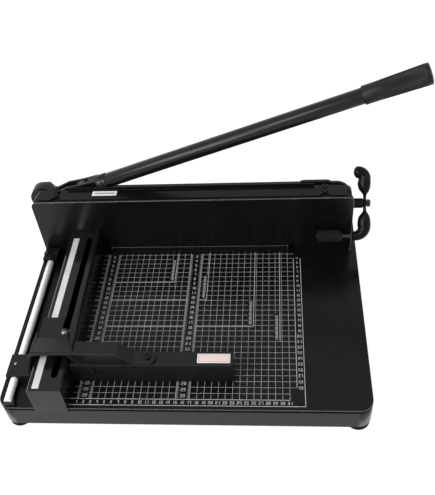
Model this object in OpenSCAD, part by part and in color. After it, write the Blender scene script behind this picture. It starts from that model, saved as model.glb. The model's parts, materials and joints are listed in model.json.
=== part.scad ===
// Stack paper cutter: a lever draws a long blade down through a stack held by a crank-driven clamp.
// Datum of every module: X = 0 on the side lay's face, Y = 0 on the cut line, Z = 0 on the table top.
// placed() moves that datum to the object's frame, with the origin on the floor under the middle of its box.

/* [Table] */
// Corner radius of the table in plan
corner_r = 20; // [18:1:22]
// Thickness of the table plate
plate_t = 4; // [3.5:0.5:8]
// Height of the tray under the plate
tray_h = 36.5; // [28:0.5:50]
// Wall thickness of the tray
tray_wall = 4; // [2:0.5:6]
// Height of the shadow groove under the plate
seam_h = 1.8; // [0.5:0.1:2]
// Depth of the shadow groove under the plate
seam_in = 1.5; // [0.3:0.1:1.5]
// Table left of the head
table_left = 2.8; // [1:0.1:20]
// Table right of the head
table_right = 9.8; // [2:0.1:40]
// Table in front of the cut line
table_front = 326.5; // [310:0.5:400]
// Table behind the rear plate
table_rear = 36.5; // [20:0.5:80]
// Radius of a rubber foot
foot_r = 17; // [12:0.5:17.5]
// Height of a rubber foot
foot_h = 12.5; // [8:0.5:16]
// Foot centre in from the table's edges
foot_inset = 18.5; // [18:0.5:24]
// Width of the cutting stick
stick_w = 10; // [6:0.5:14]
// Thickness of the cutting stick
stick_t = 3; // [2:0.25:3]

/* [Side lay] */
// Width of the side lay
lay_w = 48; // [44:0.5:60]
// Height of the side lay above the table
lay_h = 45; // [42:0.5:60]
// Wall thickness of the side lay
lay_wall = 4; // [3:0.5:6]
// Thickness of the side lay's top
lay_top = 6; // [4:0.5:8]
// Width of the slot in its top
slot_w = 10; // [7:0.25:10]
// Slot centre in from the side lay's face
slot_in = 14; // [13:0.25:18]
// Slot's front end in from the table's front
slot_front = 20.5; // [15:0.5:30]
// Slot's rear end in front of the cover
slot_rear = 8; // [6:0.5:14]
// Width of the scale strip
scale_w = 9.5; // [6:0.5:12]
// Thickness of the scale strip
scale_t = 1; // [0.6:0.1:2]
// Scale strip's left edge in from the side lay's left face
scale_in = 7; // [2:0.5:8]
// Scale strip's front end in from the table's front
scale_front = 3; // [2:0.5:12]
// Rounding of the side lay's top edges
lay_edge = 2; // [1:0.25:4]
// Thickness of the apron that hangs over the table's front
apron_t = 1.2; // [0.5:0.1:3]
// Height of that apron
apron_h = 11; // [6:0.5:20]

/* [Guide rod] */
// Radius of the guide rod
rod_r = 5.5; // [4:0.25:6]
// Guide rod's axis in from the table's left edge
rod_in = 17; // [16:0.1:20]
// Room under the guide rod
rod_air = 2; // [0.5:0.25:3]
// Wall of the rod holders round the rod
holder_wall = 3; // [2:0.25:4]
// Length of the rear rod holder
holder_l = 26; // [16:1:30]
// Gap from the rear rod holder to the cover
holder_gap = 4; // [2:0.5:10]
// Length of the front rod holder
holder_front_l = 7; // [5:0.5:8]
// Front rod holder in from the table's front
holder_front_in = 3; // [2:0.5:6]

/* [Head] */
// Width of the paper window
window_w = 320; // [280:1:420]
// Window's left edge right of the side lay's face
window_x = 1; // [0.5:0.5:4]
// Cut line behind the cover's front face
cover_gap = 22; // [21:0.5:28]
// Thickness of the cover sheet
cover_t = 2; // [1.5:0.25:3]
// Radius of the cover's top corners
cover_r = 10; // [6:0.5:12]
// Depth of the cover's side returns
return_d = 18; // [16:0.5:20]
// Cover's top below the top plate's face
cover_drop = 2; // [1:0.5:4]
// Width of the left column
column_w = 24; // [22:0.5:32]
// Width of the right column
column_right_w = 28.5; // [22:0.5:32]
// Space between a column and its rack
column_gap = 8; // [4:0.5:16]
// Space between the left rack and the raised carrier
left_bay = 14; // [3:0.5:30]
// Space between the carrier's right end and the right rack
right_bay = 38; // [10:1:60]
// Thickness of the top plate
top_t = 3; // [2:0.5:4]
// Gap between the cover's sheet and the top plate's front edge
top_in = 0.25; // [0.25:0.25:3]
// Thickness of the rear plate
rear_t = 5; // [5:0.5:12]
// Metal above and below the guide slots
slot_wall = 4.3; // [4:0.1:10]
// Height of the raised ear on the rear plate
ear_h = 3.1; // [1:0.1:6]
// Width of the raised ear
ear_w = 55; // [30:1:60]
// Raised ear in from the head's right end
ear_in = 29.5; // [26:0.5:40]
// Space over the raised carrier
head_air = 4.6; // [2:0.2:12]

/* [Lever] */
// Angle of the lever at rest
lever_a = 20.1; // [16:0.1:24]
// Swing of the lever
lever_swing = 47; // [40:1:52]
// Pivot to drive pin, along the tube
pin_run = 65; // [60:0.5:72]
// Tube's axis below the pivot, square to the tube
tube_drop = 10; // [6:0.25:12]
// Radius of the drive pin
pin_r = 6; // [4:0.25:7]
// Pivot to the end of the grip
lever_l = 634.5; // [560:0.5:700]
// Pivot in from the head's left end
pivot_in = 10.2; // [8:0.1:14]
// Pivot below the top of the cover
pivot_drop = 20.6; // [18:0.1:22]
// Radius of the pivot bolt
pivot_r = 8; // [6:0.25:10]
// Radius of the pivot boss
boss_r = 22; // [19:0.5:22.5]
// Thickness of a fork cheek
cheek_t = 4; // [3:0.25:6]
// Length of the neck between the fork and the tube socket
neck_l = 15; // [8:0.5:20]
// Outer radius of the tube socket
socket_r = 13.2; // [13:0.1:16]
// Outer radius of the handle tube
tube_r = 12; // [10:0.25:12]
// Wall of the handle tube
tube_wall = 2; // [1.2:0.1:4]
// Outer radius of the tube collar
collar_r = 13.2; // [13:0.1:16]
// Length of the grip
grip_l = 97; // [80:1:140]
// Grip radius at its inner end
grip_r0 = 14; // [13.5:0.25:15]
// Grip radius at its outer end
grip_r1 = 15.75; // [15.25:0.25:18]

/* [Blade] */
// Thickness of the blade
blade_t = 5; // [4:0.25:7]
// Height of the blade
blade_h = 38; // [34:0.5:40]
// Height of the bevel behind the edge
bevel_h = 13; // [10:0.5:18]
// Edge above the cutting stick at rest
edge_gap = 0.3; // [0.3:0.1:1]
// Blade beyond the window, each end
blade_over = 4; // [1:0.5:6]
// Thickness of the blade carrier
carrier_t = 11.5; // [10.5:0.5:14]
// Height of the blade carrier
carrier_h = 58; // [56:0.5:64]
// Carrier's lower edge above the table
carrier_z = 8; // [6:0.5:14]
// Carrier beyond the side lay's face
carrier_over = 10; // [6:0.5:14]
// Thickness of the drive lug
lug_t = 8; // [6:0.5:10]
// Half width of the drive lug's stem
stem_half = 8; // [6:0.25:8]
// Radius of a guide stud
stud_r = 4.5; // [4:0.25:6]

/* [Clamp] */
// Lift of the clamp
clamp_lift = 38; // [30:0.5:38]
// Height of the clamp foot
foot_bar_h = 11.5; // [8:0.5:13]
// Clamp foot in from the window's ends
foot_bar_in = 11; // [4:0.5:20]
// Height of the clamp beam
beam_h = 17; // [14:0.5:18]
// Thickness of the clamp face plate
face_t = 4; // [3:0.25:5]
// Face plate above the window
face_over = 8; // [4:0.5:12]
// Width of a rack and its pinion
rack_w = 12; // [8:0.5:14]
// Metal behind the rack's teeth
rack_back = 2; // [1.6:0.1:2.4]
// Gear module
gear_m = 1.2; // [1.1:0.05:1.25]
// Teeth of a pinion
gear_z = 20; // [19:1:20]

/* [Crank] */
// Shaft below the head's top
crank_drop = 29.5; // [29:0.5:32]
// Radius of the cross shaft
shaft_r = 4; // [3:0.25:4.5]
// Tilt of the crank at rest
crank_tilt = 38.5; // [37:0.5:46]
// Shaft to knob axis
knob_arm = 52; // [51:0.5:58]
// Shaft to the middle of the upper lobe's end
high_arm = 49; // [46:0.5:52]
// Thickness of a crank lobe
lobe_t = 16; // [12:0.5:16]
// Width of the crank across its arms
arm_w = 22; // [18:0.5:26]
// Thickness of the crank's web
web_t = 6.5; // [6:0.25:8]
// Length of the collar between the head and the crank
collar_l = 14.5; // [14:0.5:18]
// Radius of that collar
crank_collar_r = 8; // [6:0.25:9]
// Radius of the knob
knob_r = 9.25; // [8.5:0.25:12]
// Length of the knob
knob_l = 39; // [30:0.5:46]
// Knob's inner end in from the head's right end
knob_in = 18.5; // [13:0.5:20]
// Radius of the knob's pin
knob_pin_r = 3.5; // [2.5:0.25:4]

/* [Pusher] */
// Length of the pusher bar
bar_l = 231; // [160:1:310]
// Depth of the pusher bar
bar_d = 23.5; // [23:0.5:34]
// Height of the pusher bar
bar_h = 39.5; // [34:0.5:42]
// Sheet thickness of the pusher bar
bar_wall = 3; // [2:0.25:4]
// Back of the pusher bar in front of the cut line at rest
bar_y = 258; // [240:1:270]
// Height of the arm over the side lay
arch_h = 19; // [17:0.5:26]
// Thickness of the arm
strap_t = 4.5; // [4:0.25:6]
// Depth of the arm
strap_d = 22; // [18:0.5:23]
// Length of the raised part over the bar
strap_l = 73; // [50:1:90]
// Length of the tongue on the bar
tongue_l = 31; // [26:1:50]
// Thickness of the tongue
tongue_t = 4; // [3:0.25:6]
// Depth of the arm's front rim over the side lay
rim_d = 4; // [3:0.5:8]
// Right end of the saddle at that rim, right of the side lay's face
saddle_x1 = 12; // [10:0.5:16]
// Depth of the saddle, from the arm's front to the back of its plate
saddle_d = 77; // [70:0.5:78]
// Depth of the saddle's flat plate
saddle_plate_d = 37; // [32:0.5:40]
// Thickness of the saddle's plate
saddle_t = 4; // [3:0.25:5]
// Height of the rod slider
slider_h = 15.4; // [13:0.2:20]
// Depth of the rod slider
slider_d = 38; // [30:0.5:44]
// Radius of the lock bolt
lock_r = 3; // [2.5:0.25:4]
// Radius of the lock bolt's head
lock_head_r = 4.5; // [4:0.25:6]

/* [Fits] */
// Radial clearance of a turning fit
run_fit = 0.05; // [0.02:0.01:0.1]
// Radial clearance of a fixed fit
seat_fit = 0.1; // [0.02:0.02:0.2]
// Clearance of a sliding face
slide_gap = 0.6; // [0.4:0.1:1]
// Clearance of a rubbing face
rub_gap = 0.3; // [0.3:0.1:0.6]

/* [Hidden] */
$fn = 48;
eps = 0.01;
far = 2000;

// The lever's pin swings on an arc: the carrier follows the chord of that arc
half_swing = lever_swing / 2;
pin_arm = norm([pin_run, tube_drop]);
pin_a = lever_a - atan(tube_drop / pin_run);
stroke = 2 * pin_arm * sin(half_swing);
stroke_a = 90 + pin_a + half_swing;
draw = -stroke * cos(stroke_a);
rise = stroke * sin(stroke_a);
arc_bulge = pin_arm * (1 - cos(half_swing));

// Depth stack, front to back
cover_y = -cover_gap;
clamp_y = cover_y + cover_t + slide_gap;
beam_y = clamp_y + face_t;
beam_back_y = -1;
carrier_y = blade_t;
lug_y = carrier_y + carrier_t;
fork_gap = 1;
lever_y = lug_y + lug_t / 2;
fork_half = lug_t / 2 + fork_gap;
lever_half = fork_half + cheek_t;
rear_gap = 1;
rear_y = lever_y + lever_half + rear_gap;
rear_back_y = rear_y + rear_t;
boss_y = lever_y - lever_half;
washer_t = 0.7;
top_back_y = min(boss_y - rub_gap - washer_t, lever_y - collar_r) - slide_gap;

// Height stack
throat_z = clamp_lift + 2;
guide_slot_r = stud_r + rub_gap;
stud_z = throat_z + slot_wall + guide_slot_r;
rear_top_z = stud_z + rise + guide_slot_r + slot_wall;
carrier_top_z = carrier_z + carrier_h;
head_h = carrier_top_z + rise + head_air + top_t;
cover_h = head_h - cover_drop;
pivot_z = cover_h - pivot_drop;
crank_z = head_h - crank_drop;
foot_z = slide_gap;
beam_z = foot_z + foot_bar_h;
window_h = beam_z + clamp_lift + 8;
column_top_z = head_h - top_t;
boss_clear_z = pivot_z - boss_r - 2;

// Widths, left to right
head_left = cover_t + column_w + column_gap + rack_w + left_bay + draw + carrier_over;
head_x0 = -head_left;
window_x1 = window_x + window_w;
carrier_x0 = -carrier_over;
carrier_x1 = window_x1 + blade_over;
rack_right_x = carrier_x1 + right_bay;
head_x1 = rack_right_x + rack_w + column_gap + column_right_w + cover_t;
column_left_x = head_x0 + cover_t;
column_right_x = head_x1 - cover_t - column_right_w;
rack_left_x = column_left_x + column_w + column_gap;
rack_xs = [rack_left_x, rack_right_x];
table_x0 = head_x0 - table_left;
table_x1 = head_x1 + table_right;
table_y0 = -table_front;
table_y1 = rear_back_y + table_rear;
table_w = table_x1 - table_x0;
table_d = table_y1 - table_y0;
lay_x0 = -lay_w;
scale_z = lay_h + 0.2;
scale_rear = 11;
slot_x = -slot_in;
slot_y0 = table_y0 + slot_front;
slot_y1 = cover_y - slot_rear;
rod_x = table_x0 + rod_in;
rod_z = rod_air + rod_r;

// Lever
pivot_x = head_x0 + pivot_in;
pin_x = pivot_x + pin_arm * cos(pin_a);
pin_z = pivot_z + pin_arm * sin(pin_a);
pin_slot_half = pin_r + 0.65;
lug_head_r = pin_slot_half + 5;
fork_end = pin_run + arc_bulge + lug_head_r + 1.5;
socket_x = fork_end + neck_l;
socket_end = socket_x + 10;
collar_len = 6;
tube_in = 8.5;
grip_start = lever_l - grip_l;
cap_l = 6;
bevel = 2;

// Clamp gears
pitch_r = gear_m * gear_z / 2;
addendum = gear_m;
dedendum = 1.25 * gear_m;
backlash = 0.12;
tooth_pitch = PI * gear_m;
pressure_a = 20;
rack_pitch_y = clamp_y + rack_back + dedendum;
shaft_y = rack_pitch_y + pitch_r;
bush_r = shaft_r + 3;
rack_tip_y = rack_pitch_y + addendum;
rack_notch = 1.2;
notch_y = rack_tip_y + rack_notch;
rack_top_z = crank_z + 8.5;
teeth_low_z = crank_z - clamp_lift - 8;

// Crank, seen with its arms along local Z
web_x = head_x1 + 1 + collar_l;
lobe_out_x = web_x + web_t + 5;
low_end_x = head_x1 - 2;
high_end_x = head_x1 + 1.5;
pin_end_x = low_end_x + lobe_t / 2 + 2;
lobe_run = 13;
web_half = 12;
arc_steps = 14;
nut_l = 4.5;
knob_x1 = head_x1 - knob_in;
knob_x0 = knob_x1 - knob_l;

// Pusher
bar_x = 1;
bar_y1 = -bar_y;
bar_y0 = bar_y1 - bar_d;
bar_z = slide_gap;
bar_top_z = bar_z + bar_h;
arm_y1 = bar_y1 - (bar_d - strap_d) / 2;
arm_y0 = arm_y1 - strap_d;
strap_z = lay_h + arch_h;
strap_low_z = strap_z - strap_t;
leg_x1 = lay_x0 - 2;
leg_x0 = leg_x1 - strap_t;
leg_spread = 7.5;
slider_z = slide_gap;
slider_top_z = slider_z + slider_h;
slider_x0 = rod_x - 11.2;
slider_x1 = leg_x0 - leg_spread;
slider_y0 = bar_y0 - 2.5;
slider_y1 = slider_y0 + slider_d;
saddle_y1 = arm_y0 + saddle_d;
saddle_y0 = saddle_y1 - saddle_plate_d;
saddle_z = lay_h + slide_gap + rub_gap;
saddle_top_z = saddle_z + saddle_t;
saddle_lobe_r = 6.5;
saddle_rear_x = -18;
leg_back_y = saddle_y0 + 8;
lock_y = saddle_y0 + 10;
nut_half_w = 8;
nut_half_l = 12;
nut_h = 12;

// Rubber feet, floor and the object's own frame
floor_z = -plate_t - tray_h - foot_h;
x_min = pivot_x - boss_r;
x_max = pivot_x + lever_l * cos(lever_a) + (tube_drop + grip_r1 - bevel) * sin(lever_a);
x_mid = (x_min + x_max) / 2;
y_mid = (table_y0 - apron_t + table_y1) / 2;

// Head radius, head height and shank radius of each kind of screw
small_screw = [3.5, 1.8, 2];
mid_screw = [4.5, 2.6, 2.5];
large_screw = [5.5, 3.5, 3];
blade_screw = [5, 2.3, 3];
bolt = [7, 5, 4];

// Guide studs and their nuts
stud_root_r = 4;
stud_seat_r = stud_r + 3.5;
stud_tail_r = stud_r - 1;
stud_tail = 10;
stud_washer_t = 1.6;
stud_nut_t = 6.5;

// Places of the fasteners
foot_spots = [for (x = [table_x0 + foot_inset, table_x1 - foot_inset],
    y = [table_y0 + foot_inset, table_y1 - foot_inset]) [x, y]];
column_mid_xs = [column_left_x + column_w / 2, column_right_x + column_right_w / 2];
column_bolt_ys = [cover_y + cover_t + 12, rear_y - 12];
column_bolt_l = 24;
lay_screw_x = lay_x0 + lay_wall + 6;
lay_boss_r = 6.5;
lay_boss_h = 20;
lay_screw_ys = [table_y0 + 40, (table_y0 + cover_y) / 2, cover_y - 40];
rear_bolt_zs = [34, 60];
rear_bolt_l = 13;
rear_r = 24;
cover_screw_zs = [32, 64];
cover_screw_y = cover_y + return_d / 2 + 1;
top_screw_xs = [for (x = rack_xs) x + rack_w / 2];
top_screw_ys = [notch_y + 5.2, top_back_y - 4.5];
shoulder_h = 8;
right_back_z = rear_top_z - 9;
lip_h = 5;
lip_t = 1.6;
lip_air = 10;
blade_screw_count = 5;
blade_screw_z = blade_h - 12;
blade_sink = 2.5;
blade_screw_xs = [for (i = [0:blade_screw_count - 1])
    20 + i * (window_w - 40) / (blade_screw_count - 1)];
stud_xs = [window_w * 0.25, window_w * 0.83];
lug_flange_x1 = 40;
lug_sink = 3.5;
lug_flange_z0 = stud_z - 8;
lug_flange_z1 = stud_z + 10;
lug_screw_xs = [carrier_x0 + 7, 12, 31];
rack_screw_zs = [beam_z + 4.5, beam_z + beam_h - 4.5];
rack_sink = 2;
holder_y1 = cover_y - holder_gap;
holder_y0 = holder_y1 - holder_l;
holder_front_y0 = table_y0 + holder_front_in;
holder_half = rod_r + holder_wall + 3;
holder_top_z = rod_z + rod_r + holder_wall;
holder_screw_out = rod_r + 3.2;
rod_stop = 2.5;
rod_end = 8;
tongue_x1 = strap_l + (strap_z - bar_top_z - tongue_t) + tongue_l;
tongue_screw_x = tongue_x1 - strap_d / 2;
leg_screw_ys = [arm_y0 + 6, slider_y1 - 8];
leg_sink = 2;
leg_screw_z = slider_z + slider_h / 2;
bar_screw_x = 33;
bar_screw_z = 26;

// Helpers

module placed() translate([-x_mid, -y_mid, -floor_z]) children();

module block(x, y, z) translate([x[0], y[0], z[0]]) cube([x[1] - x[0], y[1] - y[0], z[1] - z[0]]);

module x_cyl(r, x, y, z) translate([x[0], y, z]) rotate([0, 90, 0]) cylinder(r = r, h = x[1] - x[0]);

module y_cyl(r, x, y, z) translate([x, y[0], z]) rotate([-90, 0, 0]) cylinder(r = r, h = y[1] - y[0]);

module z_cyl(r, x, y, z) translate([x, y, z[0]]) cylinder(r = r, h = z[1] - z[0]);

// A flat outline drawn in X and Z, as thick as the span y
module xz_plate(y) translate([0, y[1], 0]) rotate([90, 0, 0]) linear_extrude(y[1] - y[0]) children();

// A section drawn in Y and Z, as long as the span x
module yz_bar(x) translate([x[0], 0, 0]) rotate([90, 0, 90]) linear_extrude(x[1] - x[0]) children();

module round_rect(x, y, r) {
    translate([x[0] + r, y[0]]) square([x[1] - x[0] - 2 * r, y[1] - y[0]]);
    translate([x[0], y[0] + r]) square([x[1] - x[0], y[1] - y[0] - 2 * r]);
    for (cx = [x[0] + r, x[1] - r], cy = [y[0] + r, y[1] - r])
        translate([cx, cy]) circle(r = r, $fn = 96);
}

module table_outline(inset) round_rect(
    [table_x0 + inset, table_x1 - inset], [table_y0 + inset, table_y1 - inset], corner_r - inset);

// The lever's own frame: pivot at the origin, X along the tube
module lever_frame() translate([pivot_x, lever_y, pivot_z]) rotate([0, -lever_a, 0]) children();

// A body turned about the lever's long axis
module lever_turned(u) translate([u, 0, -tube_drop]) rotate([0, 90, 0]) children();

// The crank's own frame: shaft axis along X, the knob's arm along -Z
module crank_frame() translate([0, shaft_y, crank_z]) rotate([-crank_tilt, 0, 0]) children();

// A screw whose head stands on Z = 0 and whose shank hangs below
module screw(kind, shank_l) {
    cylinder(r = kind[0], h = kind[1]);
    translate([0, 0, -shank_l]) cylinder(r = kind[2], h = shank_l + eps);
}

function hole_r(kind) = kind[2] + seat_fit;
function sink_r(kind) = kind[0] + seat_fit;

// Table

module base_tray() placed() color("#1b1c1f") difference() {
    union() {
        difference() {
            union() {
                translate([0, 0, -plate_t - tray_h]) linear_extrude(tray_h - seam_h) table_outline(0);
                translate([0, 0, -plate_t - seam_h - eps]) linear_extrude(seam_h + eps) table_outline(seam_in);
            }
            translate([0, 0, floor_z]) linear_extrude(far) table_outline(tray_wall);
        }
        for (p = foot_spots) z_cyl(foot_inset - tray_wall / 2, p.x, p.y, [-plate_t - tray_h, -plate_t]);
    }
    for (p = foot_spots) z_cyl(hole_r(large_screw), p.x, p.y, [floor_z, -plate_t - 8]);
}

module table_plate() placed() color("#222326") difference() {
    translate([0, 0, -plate_t]) linear_extrude(plate_t) table_outline(0);
    block([window_x - 6 - seat_fit, window_x1 + 2 + seat_fit],
        [-stick_w / 2 - seat_fit, stick_w / 2 + seat_fit], [-stick_t, 1]);
    for (x = column_mid_xs, y = column_bolt_ys) z_cyl(hole_r(bolt), x, y, [-plate_t - 1, 1]);
    for (y = lay_screw_ys) z_cyl(hole_r(large_screw), lay_screw_x, y, [-plate_t - 1, 1]);
    rod_holder_screw_places() z_cyl(hole_r(small_screw), 0, 0, [-holder_top_z - plate_t - 1, 0]);
}

module rubber_feet() placed() color("#151515")
    for (p = foot_spots) translate([p.x, p.y, floor_z]) difference() {
    rotate_extrude() polygon([[0, 0], [foot_r - 2, 0], [foot_r, 2], [foot_r, foot_h], [0, foot_h]]);
    translate([0, 0, -1]) cylinder(r = 7, h = 6);
    cylinder(r = hole_r(large_screw), h = foot_h + 1);
}

module foot_screws() placed() color("#9a9a9c") for (p = foot_spots)
    translate([p.x, p.y, floor_z + 5]) mirror([0, 0, 1]) screw(large_screw, foot_h + 10);

module cutting_stick() placed() color("#e6e2d4") block(
    [window_x - 6, window_x1 + 2], [-stick_w / 2, stick_w / 2], [-stick_t, 0]);

// Side lay and guide rod

// From the front: square at the table, bevelled along its top edges
module lay_section() polygon([[lay_x0, 0], [0, 0], [0, lay_h - lay_edge], [-lay_edge, lay_h],
    [lay_x0 + lay_edge, lay_h], [lay_x0, lay_h - lay_edge]]);

module side_lay() placed() color("#1d1e21") difference() {
    union() {
        difference() {
            xz_plate([table_y0 - apron_t, cover_y]) lay_section();
            block([lay_x0 + lay_wall, -lay_wall], [table_y0 + lay_wall, cover_y - lay_wall], [-1, lay_h - lay_top]);
        }
        block([lay_x0, 0], [table_y0 - apron_t, table_y0], [-apron_h, eps]);
        for (y = lay_screw_ys) z_cyl(lay_boss_r, lay_screw_x, y, [0, lay_boss_h]);
    }
    for (y = lay_screw_ys) z_cyl(hole_r(large_screw), lay_screw_x, y, [-1, lay_boss_h - 4]);
    block([slot_x - slot_w / 2, slot_x + slot_w / 2], [slot_y0 + slot_w / 2, slot_y1 - slot_w / 2], [1, lay_h + 1]);
    for (y = [slot_y0 + slot_w / 2, slot_y1 - slot_w / 2]) z_cyl(slot_w / 2, slot_x, y, [1, lay_h + 1]);
    block([lay_x0 + scale_in, lay_x0 + scale_in + scale_w], [table_y0 + scale_front, cover_y - scale_rear],
        [scale_z - scale_t, lay_h + 1]);
}

module side_lay_screws() placed() color("#8d8d90") for (y = lay_screw_ys)
    translate([lay_screw_x, y, -plate_t]) mirror([0, 0, 1]) screw(large_screw, plate_t + lay_boss_h - 8);

module scale_strip() placed() color("#c9c9c4") block(
    [lay_x0 + scale_in, lay_x0 + scale_in + scale_w], [table_y0 + scale_front, cover_y - scale_rear],
    [scale_z - scale_t, scale_z]);

module guide_rod() placed() color("#eeeeee") y_cyl(rod_r, rod_x,
    [holder_front_y0 + rod_stop, holder_y1 - rod_end], rod_z);

// The rear holder has a screw on each side of the rod
module rod_holder_screw_places() for (side = [-1, 1])
    translate([rod_x + side * holder_screw_out, (holder_y0 + holder_y1) / 2, holder_top_z]) children();

module rod_holder_rear() placed() color("#17181a") difference() {
    block([rod_x - holder_half, rod_x + holder_half], [holder_y0, holder_y1], [0, holder_top_z]);
    y_cyl(rod_r + seat_fit, rod_x, [holder_y0 - 1, holder_y1 - rod_end], rod_z);
    rod_holder_screw_places() z_cyl(hole_r(small_screw), 0, 0, [-holder_top_z - 1, 1]);
}

// The rod's front end lies in a low open saddle
module rod_holder_front() placed() color("#17181a") difference() {
    block([rod_x - rod_r - 1.5, rod_x + rod_r + 3.5],
        [holder_front_y0, holder_front_y0 + holder_front_l], [0, rod_z]);
    y_cyl(rod_r + seat_fit, rod_x, [holder_front_y0 + rod_stop, holder_front_y0 + holder_front_l + 1], rod_z);
}

module rod_holder_screws() placed() color("#8d8d90")
    rod_holder_screw_places() screw(small_screw, holder_top_z + plate_t - 1);

// Head

module column_holes(x, w) {
    for (y = column_bolt_ys) z_cyl(hole_r(bolt), x + w / 2, y, [-1, column_bolt_l]);
    x_cyl(bush_r + seat_fit, [x - 1, x + w + 1], shaft_y, crank_z);
    for (z = rear_bolt_zs) y_cyl(hole_r(bolt), x + w / 2, [rear_y - rear_bolt_l - 1, rear_y + 1], z);
    for (z = cover_screw_zs) x_cyl(hole_r(small_screw), [x - 1, x + 8], cover_screw_y, z);
    for (z = cover_screw_zs) x_cyl(hole_r(small_screw), [x + w - 8, x + w + 1], cover_screw_y, z);
}

module top_screw_places() for (x = top_screw_xs, y = top_screw_ys) translate([x, y, head_h]) children();

// A column reaches over its pinion with a shoulder that carries the top plate.
// Its outer top corner is cut away under the rounded end of that plate, and behind the plate it is lower.
module column(x, w, outer_x, back_z, shoulder) difference() {
    union() {
        block([x, x + w], [cover_y + cover_t, rear_y], [0, column_top_z]);
        block(shoulder, [notch_y + 0.5, top_back_y], [column_top_z - shoulder_h, column_top_z]);
    }
    block([x - 1, x + w + 1], [top_back_y, rear_y + 1], [back_z, head_h]);
    translate([outer_x, 0, column_top_z]) rotate([0, 45, 0])
        cube([cover_r + 6, far, cover_r + 6], center = true);
    column_holes(x, w);
    top_screw_places() z_cyl(hole_r(mid_screw), 0, 0, [-far, 0]);
}

module left_column() placed() color("#2a2b2e") column(column_left_x, column_w, column_left_x, boss_clear_z,
    [column_left_x + column_w - eps, rack_left_x + rack_w + 1]);

module right_column() placed() color("#2a2b2e")
    column(column_right_x, column_right_w, head_x1 - cover_t, right_back_z,
        [rack_right_x - 1, column_right_x + eps]);

module column_bolts() placed() color("#8d8d90") for (x = column_mid_xs, y = column_bolt_ys)
    translate([x, y, -plate_t]) mirror([0, 0, 1]) screw(bolt, plate_t + column_bolt_l - 2);

module front_cover() placed() color("#101113") difference() {
    union() {
        difference() {
            xz_plate([cover_y, cover_y + return_d]) cover_outline(0);
            xz_plate([cover_y + cover_t, cover_y + return_d + 1]) cover_outline(cover_t);
            block([head_x0 + cover_r, head_x1 - cover_r], [cover_y + cover_t, far], [0, far]);
            block([head_x0 - 1, head_x1 + 1], [cover_y + cover_t, far], [cover_h - cover_r - 2, far]);
        }
    }
    block([window_x, window_x1], [cover_y - 1, far], [-1, window_h]);
    for (z = cover_screw_zs) cover_screw_hole(z);
    x_cyl(shaft_r + 1.5, [head_x1 - cover_t - 1, head_x1 + 1], shaft_y, crank_z);
}

// The cover from the front: square below, rounded at the top corners
module cover_outline(inset) intersection() {
    round_rect([head_x0 + inset, head_x1 - inset], [-2 * cover_r, cover_h - inset], cover_r - inset / 2);
    translate([head_x0, 0]) square([head_x1 - head_x0, cover_h]);
}

module cover_screw_hole(z) {
    x_cyl(hole_r(small_screw), [head_x0 - 1, head_x0 + cover_t + 1], cover_screw_y, z);
    x_cyl(sink_r(small_screw), [head_x0 - 1, head_x0 + cover_t / 2], cover_screw_y, z);
    x_cyl(hole_r(small_screw), [head_x1 - cover_t - 1, head_x1 + 1], cover_screw_y, z);
    x_cyl(sink_r(small_screw), [head_x1 - cover_t / 2, head_x1 + 1], cover_screw_y, z);
}

module cover_screws() placed() color("#8d8d90") for (z = cover_screw_zs) {
    x_cyl(small_screw[0], [head_x0, head_x0 + cover_t / 2], cover_screw_y, z);
    x_cyl(small_screw[2], [head_x0 + cover_t / 2 - eps, head_x0 + cover_t + 8], cover_screw_y, z);
    x_cyl(small_screw[0], [head_x1 - cover_t / 2, head_x1], cover_screw_y, z);
    x_cyl(small_screw[2], [head_x1 - cover_t - 8, head_x1 - cover_t / 2 + eps], cover_screw_y, z);
}

// The top plate is bent down at both ends, notched where the racks rise through it and stiffened by a
// lip along its rear edge, between the screws
module top_plate() placed() color("#26272a") difference() {
    union() {
        xz_plate([cover_y + cover_t + top_in, top_back_y]) difference() {
            round_rect([column_left_x, head_x1 - cover_t], [0, head_h], cover_r);
            round_rect([column_left_x + top_t, head_x1 - cover_t - top_t], [-far, head_h - top_t],
                cover_r - top_t);
            translate([-far, -1]) square([2 * far, head_h - cover_r + 1]);
        }
        block([rack_left_x + rack_w + lip_air, rack_right_x - lip_air], [top_back_y - lip_t, top_back_y],
            [head_h - eps, head_h + lip_h]);
    }
    for (x = rack_xs) block([x - rack_notch, x + rack_w + rack_notch], [cover_y, notch_y], [0, far]);
    top_screw_places() z_cyl(hole_r(mid_screw), 0, 0, [-top_t - 1, 1]);
}

module top_plate_screws() placed() color("#6f7074") top_screw_places() screw(mid_screw, top_t + shoulder_h - 1);

// The straight part is a hair narrower than the round ends
module guide_slot(x) {
    half = guide_slot_r - 0.02;
    for (t = [0, 1]) translate([x - draw * t, stud_z + rise * t]) circle(r = guide_slot_r);
    translate([x, stud_z]) rotate(stroke_a) translate([0, -half]) square([stroke, 2 * half]);
}

module rear_plate() placed() color("#1f2023") difference() {
    xz_plate([rear_y, rear_back_y]) rear_outline();
    xz_plate([rear_y - 1, rear_back_y + 1]) for (x = stud_xs) guide_slot(x);
    y_cyl(pivot_r + seat_fit, pivot_x, [rear_y - 1, rear_back_y + 1], pivot_z);
    for (x = column_mid_xs, z = rear_bolt_zs)
        y_cyl(hole_r(bolt), x, [rear_y - 1, rear_back_y + 1], z);
}

module rear_outline() difference() {
    union() {
        translate([head_x0, 0]) square([head_x1 - head_x0 - rear_r, rear_top_z]);
        translate([head_x0, 0]) square([head_x1 - head_x0, rear_top_z - rear_r]);
        translate([head_x1 - rear_r, rear_top_z - rear_r]) circle(r = rear_r, $fn = 96);
        round_rect([head_x1 - ear_in - ear_w, head_x1 - ear_in], [rear_top_z - 20, rear_top_z + ear_h], 9);
        translate([pivot_x, pivot_z]) circle(r = boss_r - 5, $fn = 96);
    }
    translate([window_x - 7, -1]) square([window_w + 12, throat_z + 1]);
}

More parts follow.
